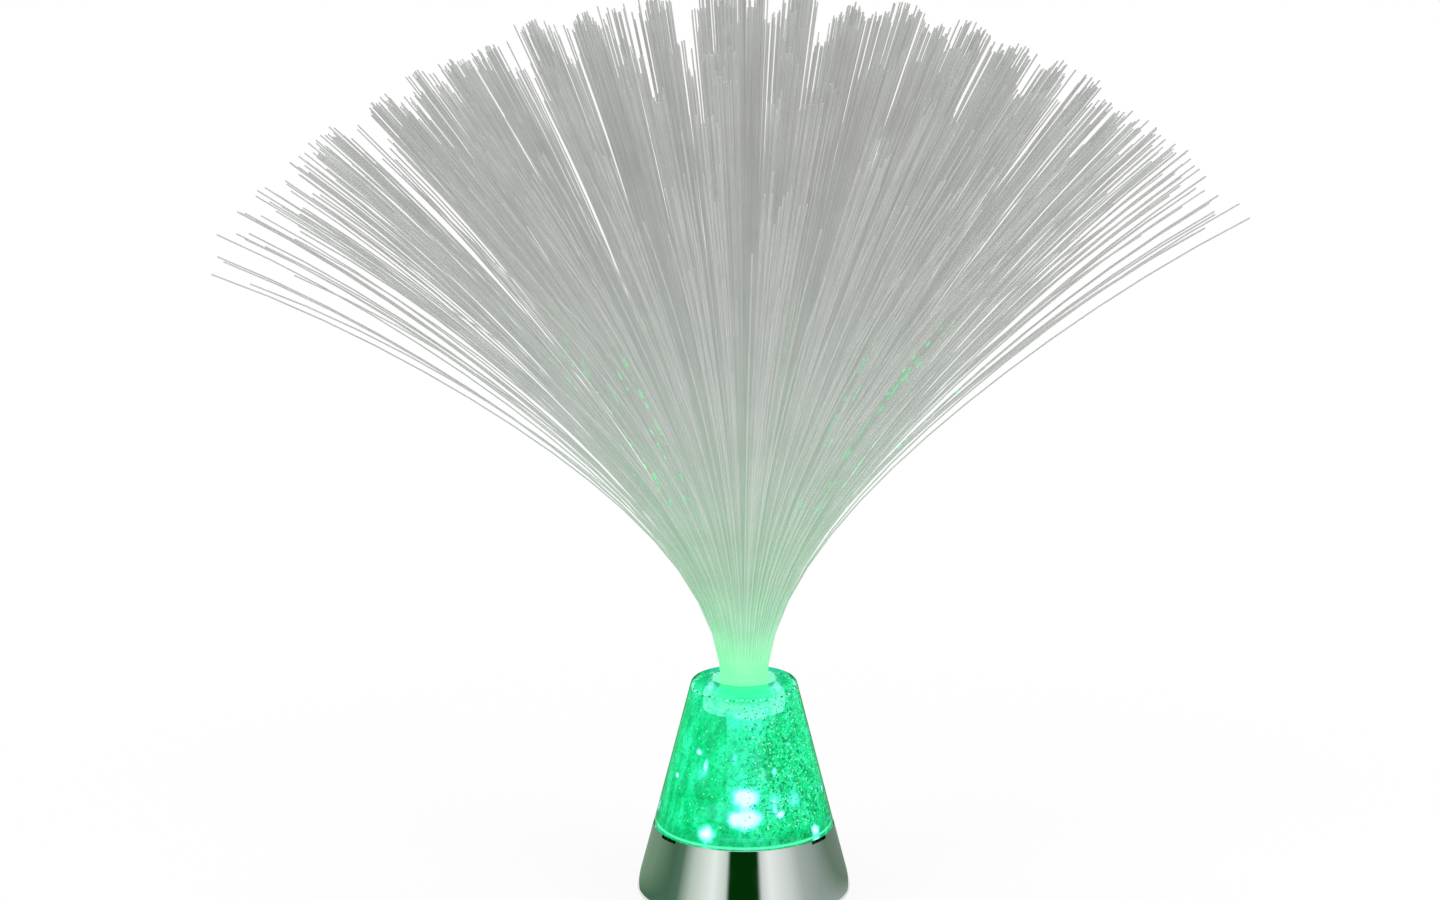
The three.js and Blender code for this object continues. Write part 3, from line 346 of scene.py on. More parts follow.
# Materials: a short name for making a node with its settings and inputs
class Shader:
    def __init__(self, name):
        self.material = bpy.data.materials.new(name)
        self.material.use_nodes = True
        self.tree = self.material.node_tree
        self.surface = self.tree.nodes["Principled BSDF"]
        self.output = self.tree.nodes["Material Output"]

    def node(self, kind, inputs=(), **settings):
        made = self.tree.nodes.new("ShaderNode" + kind)
        for key, value in settings.items():
            setattr(made, key, value)
        for key, value in dict(inputs).items():
            self.feed(made.inputs[key], value)
        return made

    def feed(self, socket, value):
        if isinstance(value, bpy.types.NodeSocket):
            self.tree.links.new(value, socket)
        else:
            socket.default_value = value

    def set(self, **inputs):
        for key, value in inputs.items():
            self.feed(self.surface.inputs[key.replace("_", " ")], value)

    def place(self):
        return self.node("TexCoord").outputs["Object"]

    def axis(self, name):
        return self.node("SeparateXYZ", {"Vector": self.place()}).outputs[name]

    def stretched(self, share):
        """Places squeezed along the height, so that a pattern on them runs up and down."""
        return self.node("Mapping", {"Vector": self.place(), "Scale": (1.0, 1.0, share)}).outputs[0]

    def over_socket(self):
        """Height over the underside of the crystal's socket."""
        return self.math("SUBTRACT", self.axis("Z"), SOCKET_UNDERSIDE)

    def noise(self, scale, detail=NOISE_DETAIL, vector=None):
        inputs = {"Vector": vector or self.place(), "Scale": scale, "Detail": detail}
        return self.node("TexNoise", inputs).outputs["Fac"]

    def ramp(self, factor, stops, interpolation="LINEAR"):
        made = self.node("ValToRGB", {"Fac": factor})
        made.color_ramp.interpolation = interpolation
        elements = made.color_ramp.elements
        while len(elements) < len(stops):
            elements.new(0.5)
        for element, (position, colour) in zip(elements, stops):
            element.position = position
            element.color = colour if len(colour) == 4 else (*colour, 1.0)
        return made.outputs["Color"]

    def math(self, operation, first, second):
        return self.node("Math", {0: first, 1: second}, operation=operation).outputs[0]

    def fade(self, value, low, high, at_low=0.0, at_high=1.0):
        inputs = {"Value": value, "From Min": low, "From Max": high, "To Min": at_low, "To Max": at_high}
        return self.node("MapRange", inputs, interpolation_type="SMOOTHSTEP").outputs["Result"]

    def distance(self, point, place=None):
        inputs = {0: place or self.place(), 1: tuple(point)}
        return self.node("VectorMath", inputs, operation="DISTANCE").outputs["Value"]

    def off_axis(self):
        flat = self.node("VectorMath", {0: self.place(), 1: (1, 1, 0)}, operation="MULTIPLY")
        return self.node("VectorMath", {0: flat.outputs[0]}, operation="LENGTH").outputs["Value"]

    def mix(self, factor, first, second):
        inputs = {"Factor": factor, 6: first, 7: second}
        return self.node("Mix", inputs, data_type="RGBA").outputs[2]

    def roughen(self, scale, least, most, levels=NOISE_LEVELS, detail=NOISE_DETAIL):
        """Roughness that changes from place to place."""
        self.set(Roughness=self.fade(self.noise(scale, detail), *levels, least, most))

    def bump(self, scale, detail, strength, depth):
        inputs = {"Height": self.noise(scale, detail), "Strength": strength, "Distance": depth}
        self.set(Normal=self.node("Bump", inputs).outputs["Normal"])


# Meshes
def put(name, mesh, material, body, nodes=()):
    """Makes an object of a mesh, gives it its material and lets it ride on a body."""
    piece = bpy.data.objects.new(name, mesh)
    bpy.context.scene.collection.objects.link(piece)
    mesh.materials.append(material)
    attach(piece, body)
    if nodes:
        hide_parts(*nodes)
    return piece


def mesh_of(name, points, faces):
    mesh = bpy.data.meshes.new(name)
    mesh.from_pydata([tuple(p) for p in points], [], [tuple(f) for f in faces])
    mesh.validate()
    return mesh


def smooth(mesh, degrees=SMOOTH_DEGREES):
    """Shades a mesh smoothly, but for edges sharper than an angle."""
    mesh.shade_smooth()
    mesh.set_sharp_from_angle(angle=math.radians(degrees))
    return mesh


def arc(centre, radius, first, last, steps):
    """Points of a rounded edge, as radius and height, from one angle to another in degrees."""
    angles = np.radians(np.linspace(first, last, steps + 1))
    return [(centre[0] + radius * math.cos(a), centre[1] + radius * math.sin(a)) for a in angles]


def turned(profile, start=0.0, sweep=WHOLE_TURN, segments=LIQUID_SIDES):
    """Points and faces of a closed profile turned about the lamp's axis, the whole way or part of it."""
    whole = sweep >= WHOLE_TURN
    stations = segments if whole else segments + 1
    count = len(profile)
    angles = start + sweep * np.arange(stations) / segments
    points = [(r * math.cos(a), r * math.sin(a), z) for a in angles for r, z in profile]
    faces = []
    for i in range(segments):
        near, far = i * count, (i + 1) % stations * count
        for j in range(count):
            k = (j + 1) % count
            faces.append((near + j, far + j, far + k, near + k))
    if not whole:
        last = (stations - 1) * count
        faces += [tuple(range(count)), tuple(last + j for j in reversed(range(count)))]
    return points, faces


def weld(mesh):
    """Merges points that lie on each other and turns all faces outward."""
    work = bmesh.new()
    work.from_mesh(mesh)
    bmesh.ops.remove_doubles(work, verts=work.verts, dist=WELD_DISTANCE)
    bmesh.ops.recalc_face_normals(work, faces=work.faces)
    work.to_mesh(mesh)
    work.free()
    return mesh


def lathe(name, profile, **turn):
    return smooth(weld(mesh_of(name, *turned(profile, **turn))))


def carve(mesh, cutters):
    """Cuts closed meshes out of a mesh."""
    holder = bpy.data.objects.new(mesh.name, mesh)
    bpy.context.scene.collection.objects.link(holder)
    tools = []
    for cutter in cutters:
        tool = bpy.data.objects.new(cutter.name, cutter)
        bpy.context.scene.collection.objects.link(tool)
        modifier = holder.modifiers.new(cutter.name, "BOOLEAN")
        modifier.object = tool
        modifier.solver = "EXACT"
        tools.append(tool)
    graph = bpy.context.evaluated_depsgraph_get()
    result = bpy.data.meshes.new_from_object(holder.evaluated_get(graph))
    for spent in [holder, *tools]:
        bpy.data.objects.remove(spent)
    return result


def scattered(name, shapes, material, body):
    """One mesh of many small closed shapes, each given as points and faces."""
    points, faces = [], []
    for shape_points, shape_faces in shapes:
        first = len(points)
        points += shape_points
        faces += [[first + i for i in face] for face in shape_faces]
    return put(name, mesh_of(name, points, faces), material, body)


# The cone's outline, shared by the chrome and the crystal
def cone_radius(height):
    start_radius = EDGE_CENTRE[0] + LOWER_EDGE_RADIUS * math.cos(CONE_ANGLE)
    start_height = EDGE_CENTRE[1] + LOWER_EDGE_RADIUS * math.sin(CONE_ANGLE)
    return start_radius - math.tan(CONE_ANGLE) * (height - start_height)


def inner_radius(height, wall):
    return cone_radius(height) - wall / math.cos(CONE_ANGLE)


def crystal_radius(height):
    return cone_radius(height) - CRYSTAL_SETBACK


def liquid_radius(height):
    return inner_radius(height, CRYSTAL_WALL) - CRYSTAL_SETBACK - SEAT_GAP


def on_liquid(azimuth, height, outward=0.0):
    """A place on the liquid's skin, or a little off it."""
    radius = liquid_radius(height) + outward
    return Vector((radius * math.cos(azimuth), radius * math.sin(azimuth), height))


def sector(name, low, high, bottom, top, azimuth, width):
    """A curved block around the axis, as wide as a slot or a tab."""
    sweep = width / ((low + high) / 2)
    profile = [(low, bottom), (high, bottom), (high, top), (low, top)]
    return lathe(name, profile, start=azimuth - sweep / 2, sweep=sweep, segments=SLOT_SIDES)


def chrome_shell():
    base, top = shell_low.z, SHELL_TOP
    under_deck = top - DECK_THICKNESS
    low_edge = arc(EDGE_CENTRE, LOWER_EDGE_RADIUS, -90, math.degrees(CONE_ANGLE), EDGE_STEPS)
    lip_centre = (cone_radius(top) - CHROME_LIP, top - CHROME_LIP)
    lip = arc(lip_centre, CHROME_LIP, math.degrees(CONE_ANGLE), 90, LIP_STEPS)
    walls = [
        (SHELL_MOUTH, base), *low_edge, *lip, (DECK_OPENING, top), (DECK_OPENING, under_deck),
        (inner_radius(under_deck, SHELL_WALL), under_deck),
        (inner_radius(PLATE_TOP, SHELL_WALL), PLATE_TOP), (SHELL_MOUTH, PLATE_TOP),
    ]
    low = crystal_radius(top) - CRYSTAL_WALL
    slots = [
        sector(f"slot_{i}", low, WIDEST_RADIUS, top - SLOT_DEPTH, top + CHROME_LIP, azimuth, SLOT_WIDTH)
        for i, azimuth in enumerate(SLOT_AZIMUTHS)
    ]
    return smooth(carve(lathe("chrome_shell", walls, segments=CONE_SIDES), slots))


def crystal_cone():
    """The crystal's outer faces. The liquid wets its inside, which bends no light and so isn't drawn."""
    top, bottom = crystal_top, SHELL_TOP + CONTACT_GAP
    rim_height = top - RIM_RADIUS
    rim_centre = (crystal_radius(rim_height) - RIM_RADIUS, rim_height)
    rim = arc(rim_centre, RIM_RADIUS, math.degrees(CONE_ANGLE), 90, EDGE_STEPS)
    lip = arc((SOCKET_RADIUS + SOCKET_LIP, top - SOCKET_LIP), SOCKET_LIP, 90, 180, LIP_STEPS)
    socket_floor = top - SOCKET_DEPTH
    return lathe("crystal_cone", [
        (0, bottom), (crystal_radius(bottom), bottom), *rim, *lip,
        (SOCKET_RADIUS, socket_floor), (0, socket_floor),
    ], segments=CONE_SIDES)


def crystal_tabs():
    """The tabs under the crystal that stand in the chrome's slots."""
    low = crystal_radius(SHELL_TOP) - CRYSTAL_WALL + SEAT_GAP
    width = SLOT_WIDTH - 2 * SEAT_GAP
    meshes = [sector("tab", low, low + TAB_THICKNESS, SHELL_TOP - TAB_DEPTH, SHELL_TOP, azimuth, width)
              for azimuth in SLOT_AZIMUTHS]
    return [([v.co.copy() for v in m.vertices], [list(f.vertices) for f in m.polygons]) for m in meshes]


def liquid_body():
    low, high = liquid_low.z, liquid_high.z
    guide_side = guide_radius + SEAT_GAP
    socket_side = SOCKET_RADIUS + SOCKET_WALL + SEAT_GAP
    socket_under = SOCKET_UNDERSIDE - SEAT_GAP
    return lathe("liquid_body", [
        (guide_side, low), (liquid_radius(low), low), (liquid_radius(high), high),
        (socket_side, high), (socket_side, socket_under), (guide_side, socket_under),
    ])


# Glitter: flat six-sided flakes near the wall, more of them on the right
def flake(centre, radius, tilt):
    outward = Vector((centre.x, centre.y, 0)).normalized()
    along = outward.cross(Vector((0, 0, 1)))
    normal = (outward + Vector(tilt)).normalized()
    first = along.cross(normal).normalized()
    second = normal.cross(first)
    rim = [centre + radius * (first * math.cos(a) + second * math.sin(a)) for a in FLAKE_ANGLES]
    points = [p + normal * side for side in (-FLAKE_HALF, FLAKE_HALF) for p in rim]
    count = len(FLAKE_ANGLES)
    sides = [(i, (i + 1) % count, count + (i + 1) % count, count + i) for i in range(count)]
    return points, [tuple(reversed(range(count))), tuple(range(count, 2 * count)), *sides]


def flakes(source, count, right_share):
    made = []
    while len(made) < count:
        height = source.uniform(liquid_low.z + EDGE_MARGIN, liquid_high.z - EDGE_MARGIN)
        azimuth = source.uniform(0, WHOLE_TURN)
        if math.cos(azimuth) < 0 and source.uniform() < right_share:
            azimuth = math.pi - azimuth
        centre = on_liquid(azimuth, height, SEAT_GAP * source.uniform(*FLAKE_DEPTH_SHARES))
        tilt = source.uniform(-FLAKE_TILT_SHARE, FLAKE_TILT_SHARE, 3)
        made.append(flake(centre, source.uniform(SMALLEST_FLAKE, LARGEST_FLAKE), tilt))
    return made


# Bubbles: small balls in a ring under the crystal's top
def ball(centre, radius):
    profile = [(radius * math.sin(a), -radius * math.cos(a)) for a in np.linspace(0, math.pi, BALL_SIDES)]
    points, faces = turned(profile[1:-1], segments=BALL_SIDES)
    # The wall that closes the profile inside the ball goes, and a cap at each end closes the ball
    faces = [face for face in faces if abs(face[0] - face[3]) == 1]
    stride = len(profile) - 2
    faces += [tuple(stride * i for i in reversed(range(BALL_SIDES))),
              tuple(stride * i + stride - 1 for i in range(BALL_SIDES))]
    return [centre + Vector(p) for p in points], faces


def bubbles(source):
    made = []
    for i in range(BUBBLE_COUNT):
        height = liquid_high.z - BUBBLE_DROP * source.uniform(0.0, 1.0)
        centre = on_liquid(i * GOLDEN_ANGLE, height, -BUBBLE_INSET)
        made.append(ball(centre, BUBBLE_RADIUS * source.uniform(LEAST_BUBBLE_SHARE, 1.0)))
    return made


# Fibres: every one bends outward by its lean and sags toward its tip
def fibre_paths(roots, azimuths, leans, lengths):
    """Centre points of the fibres, as an array of fibre, ring and coordinate."""
    shares = (np.arange(FIBRE_STEPS + 1) / FIBRE_STEPS)[None, :]
    runs = lengths[:, None] * shares ** FIBRE_SPACING_POWER
    middle = (runs[:, 1:] + runs[:, :-1]) / 2
    bend = LARGEST_LEAN * (1 - np.exp(-middle / BEND_LENGTH))
    sag = LARGEST_DROOP * (middle / lengths[:, None]) ** DROOP_POWER
    angles = leans[:, None] * (bend + sag)
    step = np.diff(runs, axis=1)
    out = np.cumsum(step * np.sin(angles), axis=1)
    up = np.cumsum(step * np.cos(angles), axis=1)
    out = np.concatenate([np.zeros((len(roots), 1)), out], axis=1)
    up = np.concatenate([np.zeros((len(roots), 1)), up], axis=1)
    x = roots[:, :1] + out * np.cos(azimuths)[:, None]
    y = roots[:, 1:] + out * np.sin(azimuths)[:, None]
    paths = np.stack([x, y, FIBRE_BOTTOM + up], axis=2)
    return paths[:, ::FIBRE_STEPS // FIBRE_RINGS]


def tubes(name, paths):
    """One mesh of thin closed tubes along the paths."""
    count, rings, _ = paths.shape
    along = np.gradient(paths, axis=1)
    along /= np.linalg.norm(along, axis=2, keepdims=True)
    side = np.cross(along, SIDE_AXIS)
    side /= np.linalg.norm(side, axis=2, keepdims=True)
    other = np.cross(along, side)
    turn = WHOLE_TURN * np.arange(FIBRE_SIDES) / FIBRE_SIDES
    offset = side[:, :, None] * np.cos(turn)[:, None] + other[:, :, None] * np.sin(turn)[:, None]
    points = (paths[:, :, None] + FIBRE_RADIUS * offset).reshape(-1, 3)
    first = (np.arange(count)[:, None, None] * rings + np.arange(rings - 1)[None, :, None]) * FIBRE_SIDES
    corner = np.arange(FIBRE_SIDES)[None, None, :]
    following = (corner + 1) % FIBRE_SIDES
    quads = np.stack([first + corner, first + following, first + FIBRE_SIDES + following,
                      first + FIBRE_SIDES + corner], axis=3).reshape(-1, 4)
    tips = (np.arange(count)[:, None] * rings + rings - 1) * FIBRE_SIDES + np.arange(FIBRE_SIDES)
    roots = np.arange(count)[:, None] * rings * FIBRE_SIDES + np.arange(FIBRE_SIDES)[::-1]
    faces = np.concatenate([quads, tips, roots])
    return smooth(mesh_of(name, points.tolist(), faces.tolist()), TUBE_SMOOTH_DEGREES)


def disc_places(count, turn):
    """Places spread evenly over a disc with a radius of 1."""
    radii = np.sqrt((np.arange(count) + 0.5) / count)
    azimuths = np.arange(count) * GOLDEN_ANGLE + turn
    return radii[:, None] * np.stack([np.cos(azimuths), np.sin(azimuths)], axis=1)


def spray_of(places, seed):
    """Paths of fibres that gather into tufts, so that slits open between them."""
    count = len(places)
    source, tuft_source = np.random.default_rng(seed), np.random.default_rng(TUFT_SEED)
    centres = disc_places(TUFT_COUNT, TUFT_SEED)
    centres += tuft_source.normal(0, TUFT_SCATTER_SHARE, centres.shape)
    tuft_shortening = tuft_source.uniform(0, TUFT_SHORTENING_SHARE, TUFT_COUNT)
    nearest = np.linalg.norm(places[:, None] - centres[None], axis=2).argmin(axis=1)
    off_centre = np.linalg.norm(places, axis=1, keepdims=True)
    pull = source.uniform(LEAST_PULL_SHARE, MOST_PULL_SHARE, (count, 1)) * (1 - off_centre ** LOOSE_POWER)
    aims = places + pull * (centres[nearest] - places) + source.normal(0, AIM_SCATTER_SHARE, places.shape)
    outward = np.minimum(np.linalg.norm(aims, axis=1), 1.0)
    azimuths = np.arctan2(aims[:, 1], aims[:, 0])
    leans = STEADY_LEAN_SHARE * outward + (1 - STEADY_LEAN_SHARE) * outward ** OUTER_LEAN_POWER
    rightward = (1 + np.cos(azimuths)) / 2
    leans *= 1 - RIGHT_STIFF_SHARE * rightward - STIFF_SHARE
    shortening = tuft_shortening[nearest] + source.uniform(0, LENGTH_SCATTER_SHARE, count)
    return fibre_paths(BUNDLE_RADIUS * places, azimuths, leans, FIBRE_LENGTH * (1 - shortening))


def lit_places():
    """Places of the fibres that show their light on the way, a few in each lit tuft."""
    source = np.random.default_rng(LIT_SEED)
    turns = np.radians([azimuth for azimuth, share in LIT_TUFTS])
    shares = np.array([share for azimuth, share in LIT_TUFTS])
    centres = shares[:, None] * np.stack([np.cos(turns), np.sin(turns)], axis=1)
    spread = source.normal(0, LIT_SPREAD_SHARE, (len(LIT_TUFTS), LIT_PER_TUFT, 2))
    return (centres[:, None] + spread).reshape(-1, 2)


# Materials of the lit parts
def glowing(shader, colour, strength):
    shader.set(Emission_Color=colour, Emission_Strength=strength)
    return shader.material


def chrome_material():
    shader = Shader("chrome_plating")
    shader.set(Base_Color=srgb(*CHROME_COLOUR), Metallic=1.0, Specular_IOR_Level=0.5)
    shader.roughen(scale=90, least=0.035, most=0.085, levels=CHROME_SMEAR_LEVELS, detail=4)
    shader.bump(scale=1400, detail=2, strength=0.02, depth=CHROME_BUMP)
    return shader.material


def crystal_material(name, tint):
    """Clear plastic with painted shade at its edges, where it turns dark green, and isn't tinted a second
    time in the socket.
    """
    shader = Shader(name)
    edge = shader.node("LayerWeight", {"Blend": EDGE_BLEND}).outputs["Facing"]
    edge_shaded = shader.mix(shader.fade(edge, *EDGE_LEVELS), tint, CRYSTAL_EDGE_SHADE)
    in_socket = shader.fade(shader.off_axis(), *SOCKET_TINT_SPAN, 1.0, 0.0)
    shader.set(Base_Color=shader.mix(in_socket, edge_shaded, SOCKET_TINT))
    shader.set(Transmission_Weight=1.0, IOR=CRYSTAL_IOR)
    shader.roughen(scale=220, least=0.01, most=0.05, levels=CRYSTAL_SMEAR_LEVELS)
    shader.bump(scale=160, detail=2, strength=0.05, depth=CRYSTAL_BUMP)
    return shader.material


def lamp_spots(shader):
    """Bright images of the lit domes in the liquid."""
    total = 0.0
    ragged = shader.fade(shader.noise(RAGGED_SCALE, detail=4), *RAGGED_LEVELS, -RAGGED_EDGE, RAGGED_EDGE)
    for spots, squeeze in ((LIGHT_SPOTS, 1.0), (LIGHT_STREAKS, STREAK_SQUEEZE_SHARE)):
        place = shader.stretched(squeeze)
        for azimuth, height, reach, level in spots:
            x, y, z = on_liquid(math.radians(azimuth), height)
            off_spot = shader.math("ADD", shader.distance((x, y, squeeze * z), place), ragged)
            glow = shader.math("POWER", shader.fade(off_spot, 0.0, reach, 1.0, 0.0), SPOT_FALLOFF_POWER)
            total = shader.math("ADD", shader.math("MULTIPLY", glow, level), total)
    return shader.math("MINIMUM", total, 1.0)


def speckled_liquid(shader):
    """Clouds of green with fine dark and bright grains, which are fainter at the left."""
    clouds = shader.noise(CLOUD_SCALE, detail=5, vector=shader.stretched(CLOUD_SQUEEZE_SHARE))
    rightward = shader.fade(shader.axis("X"), *GRAIN_SPAN, LEFT_GRAIN_SHARE, 1.0)
    grain = shader.noise(GRAIN_SCALE, detail=6)
    dark = shader.fade(grain, *DARK_GRAIN_LEVELS, DARK_GRAIN_SHARE, 0.0)
    bright = shader.fade(grain, *BRIGHT_GRAIN_LEVELS, 0.0, BRIGHT_GRAIN_SHARE)
    tone = shader.ramp(clouds, LIQUID_TONES)
    tone = shader.mix(shader.math("MULTIPLY", dark, rightward), tone, GRAIN_AND_SHADE_DARK)
    return shader.mix(shader.math("MULTIPLY", bright, rightward), tone, GRAIN_BRIGHT)


def lit_core(shader):
    """Painted light: the bright stretch round the light guide, with brighter blots of painted highlight
    under the socket.
    """
    highlight_blots = shader.fade(shader.noise(LINING_SCALE), *LINING_LEVELS)
    lining = shader.mix(highlight_blots, CORE_TONE, LINING_HIGHLIGHT_TONE)
    return shader.mix(shader.fade(shader.over_socket(), *LINING_SPAN), CORE_TONE, lining)


def liquid_cover(shader, inside):
    """How much the liquid hides of what is behind it: its skin and its lining hide less than its core."""
    height = shader.over_socket()
    skin = shader.fade(height, *SKIN_SPAN, SKIN_ALPHA_SHARE, TOP_SKIN_ALPHA_SHARE)
    core = shader.fade(height, *CORE_SPAN, CORE_ALPHA_SHARE, LINING_ALPHA_SHARE)
    core = shader.math("MINIMUM", core, shader.fade(height, *TOP_SPAN, 1.0, TOP_ALPHA_SHARE))
    outside = shader.math("SUBTRACT", 1.0, inside)
    return shader.math("ADD", shader.math("MULTIPLY", inside, core), shader.math("MULTIPLY", outside, skin))


def liquid_material(name):
    """Lit liquid full of fine glitter, brighter round the socket and the light guide."""
    shader = Shader(name)
    height = shader.axis("Z")
    inside = shader.fade(shader.off_axis(), *CORE_SIDE_SPAN, 1.0, 0.0)
    foot_shade = shader.fade(height, floor_high.z, floor_high.z + FOOT_SHADE, FOOT_SHADE_SHARE, 0.0)
    foot_highlight = shader.fade(height, floor_low.z, floor_low.z + FOOT_HIGHLIGHT, 1.0, 0.0)
    spots = lamp_spots(shader)
    tone = shader.mix(inside, speckled_liquid(shader), lit_core(shader))
    # Painted shade: a darker band just over the crystal's floor
    tone = shader.mix(foot_shade, tone, GRAIN_AND_SHADE_DARK)
    # Painted highlight: a bright line along the foot of the crystal's floor
    tone = shader.mix(foot_highlight, tone, FOOT_HIGHLIGHT_TONE)
    tone = shader.mix(shader.fade(spots, *HALO_LEVELS), tone, HALO_TONE)
    tone = shader.mix(shader.fade(spots, *SPOT_LEVELS), tone, SPOT_TONE)
    shader.set(Base_Color=srgb(*LIQUID_COLOUR), Roughness=LIQUID_ROUGHNESS)
    shader.set(Alpha=liquid_cover(shader, inside))
    return glowing(shader, tone, LIQUID_STRENGTH)


def flake_material(name, colour, glow):
    shader = Shader(name)
    shader.set(Base_Color=colour, Metallic=FLAKE_METALLIC_SHARE)
    shader.roughen(scale=900, least=0.1, most=0.35)
    glint = shader.mix(shader.noise(scale=700), colour, srgb(*FLAKE_GLINT))
    return glowing(shader, glint, glow)


def fibre_material(name, green):
    """Translucent grey fibres that carry green light up from the root, which fades along them into a grey
    glow: painted light that lifts the fibres out of the shade they cast on each other.
    """
    shader = Shader(name)
    along = shader.node("MapRange", {
        "Value": shader.distance((0, 0, FIBRE_BOTTOM)), "From Max": GLOW_REACH}).outputs["Result"]
    tones = [(share, srgb(*colour)) for share, colour in FIBRE_TONES]
    shader.set(Base_Color=shader.ramp(shader.noise(scale=60, detail=2), tones))
    shader.roughen(scale=400, least=0.3, most=0.45)
    light = shader.ramp(along, FIBRE_GLOW)
    streak = shader.fade(shader.noise(GREEN_STREAK_SCALE, detail=2), *GREEN_STREAK_LEVELS)
    reach = shader.ramp(along, [(share, (level, level, level)) for share, level in GREEN_STREAK_REACH])
    factor = shader.math("MULTIPLY", shader.math("MULTIPLY", streak, reach), green)
    return glowing(shader, shader.mix(factor, light, srgb(*GREEN_STREAK_COLOUR)), 1.0)


def bubble_material():
    """Bubbles with a painted glow that makes some look lit and leaves others dark, from one to the next."""
    shader = Shader("bubble")
    shader.set(Base_Color=srgb(*BUBBLE_COLOUR))
    shader.roughen(scale=500, least=0.1, most=0.2)
    tone = shader.ramp(shader.noise(scale=700, detail=1), BUBBLE_HIGHLIGHT_TONES)
    return glowing(shader, tone, BUBBLE_STRENGTH)


def ferrule_material():
    """A milky ferrule, lit from below, whose glow turns green towards its top."""
    shader = Shader("milky_ferrule")
    blotch = shader.fade(shader.noise(scale=150), *FERRULE_LEVELS)
    low = shader.mix(blotch, FERRULE_DIM_TONE, FERRULE_LOW_TONE)
    tone = shader.mix(shader.fade(shader.over_socket(), *FERRULE_TOP_SPAN), low, FERRULE_TOP_TONE)
    shader.set(Base_Color=srgb(*FERRULE_COLOUR))
    shader.roughen(scale=260, least=0.3, most=0.45)
    return glowing(shader, tone, 1.0)


def guide_material():
    """The clear column in the middle, which carries the light up."""
    shader = Shader("clear_acrylic")
    colour, glow = srgb(*GUIDE_COLOUR), srgb(*GUIDE_GLOW)
    shader.set(Base_Color=colour, Transmission_Weight=0.6, IOR=GUIDE_IOR)
    shader.roughen(scale=260, least=0.04, most=0.12)
    return glowing(shader, shader.mix(shader.noise(scale=240), glow, colour), GUIDE_STRENGTH)


# Materials of the parts inside and underneath, for the frame's own pieces
def moulded(name, colour, least, most, grain):
    shader = Shader(name)
    base = srgb(*colour)
    light = tuple(min(1.0, c * MOULD_LIGHT_SHARE + MOULD_LIGHT_MORE) for c in base[:3])
    shader.set(Base_Color=shader.mix(shader.noise(grain / 6), base, (*light, 1.0)))
    shader.roughen(grain / 3, least, most)
    shader.bump(grain, detail=3, strength=0.25, depth=MOULD_BUMP)
    return shader.material


def metal(name, colour, least, most):
    shader = Shader(name)
    shader.set(Base_Color=srgb(*colour), Metallic=1.0)
    shader.roughen(scale=500, least=least, most=most, detail=4)
    shader.bump(scale=1800, detail=3, strength=0.12, depth=METAL_BUMP)
    return shader.material


def cell_material():
    """A wrapped cell: a coloured sleeve with a darker band and bare metal at both ends."""
    shader = Shader("cell_sleeve")
    along = shader.fade(shader.axis("X"), -CELL_HALF, CELL_HALF)
    bands = [(share, srgb(*colour)) for share, colour in CELL_BANDS]
    shader.set(Base_Color=shader.ramp(along, bands, "CONSTANT"), Metallic=0.3)
    shader.roughen(scale=400, least=0.25, most=0.4)
    return shader.material


def slot_materials():
    return {
        "clear_acrylic": guide_material(),
        "lit_acrylic": liquid_material("lit_acrylic"),
        "milky_plastic": ferrule_material(),
        "cell_sleeve": cell_material(),
        "led_lens": glowing(Shader("led_lens"), srgb(*LED_COLOUR), LED_STRENGTH),
        **{slot: moulded(*finish) for slot, finish in MOULDED.items()},
        **{slot: metal(*finish) for slot, finish in METALS.items()},
    }


# The pieces
def dress_base():
    put("chrome_shell", chrome_shell(), chrome_material(), "base", ["base_shell"])
    clear = crystal_material("clear_crystal", CRYSTAL_TINT)
    put("crystal_cone", crystal_cone(), clear, "base", ["crystal_shell"])
    # A dark copy of the crystal for the tabs: painted shade, for the dark down in the chrome's slots
    shaded = crystal_material("shaded_crystal", TAB_SHADE_TINT)
    scattered("crystal_tabs", crystal_tabs(), shaded, "base")
    liquid = liquid_material("glitter_liquid")
    put("liquid_body", liquid_body(), liquid, "base", ["glitter_liquid"])
    source = np.random.default_rng(GLITTER_SEED)
    for name, count, colour, glow, share in GLITTER:
        glitter = flake_material(name, srgb(*colour), glow)
        scattered(name, flakes(source, count, share), glitter, "base")
    scattered("bubbles", bubbles(source), bubble_material(), "base")


def quarter_of(places):
    """The number of the frame's quarter of the spray that each place belongs to, from 0."""
    boxes = [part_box(node) for node in SPRAY_NODES]
    towards = np.array([tuple((low + high).xy.normalized()) for low, high in boxes])
    return (places @ towards.T).argmax(axis=1)


def dress_spray():
    plain = fibre_material("fibre", 0.0)
    lit = fibre_material("fibre_lit", 1.0)
    places = disc_places(FIBRE_COUNT, FIBRE_SEED)
    paths, quarters = spray_of(places, FIBRE_SEED), quarter_of(places)
    for i, node in enumerate(SPRAY_NODES):
        name = f"fibres_{i + 1}"
        put(name, tubes(name, paths[quarters == i]), plain, "spray", [node])
    streaks = spray_of(lit_places(), LIT_SEED)
    put("fibres_lit", tubes("fibres_lit", streaks), lit, "spray")
    bottom, top = spray_bottom, FIBRE_BOTTOM + ROOT_RISE
    root = [(0, bottom), (ROOT_RADIUS, bottom), (ROOT_RADIUS, top), (0, top)]
    put("fibre_root", lathe("fibre_root", root, segments=ROOT_SIDES), lit, "spray")


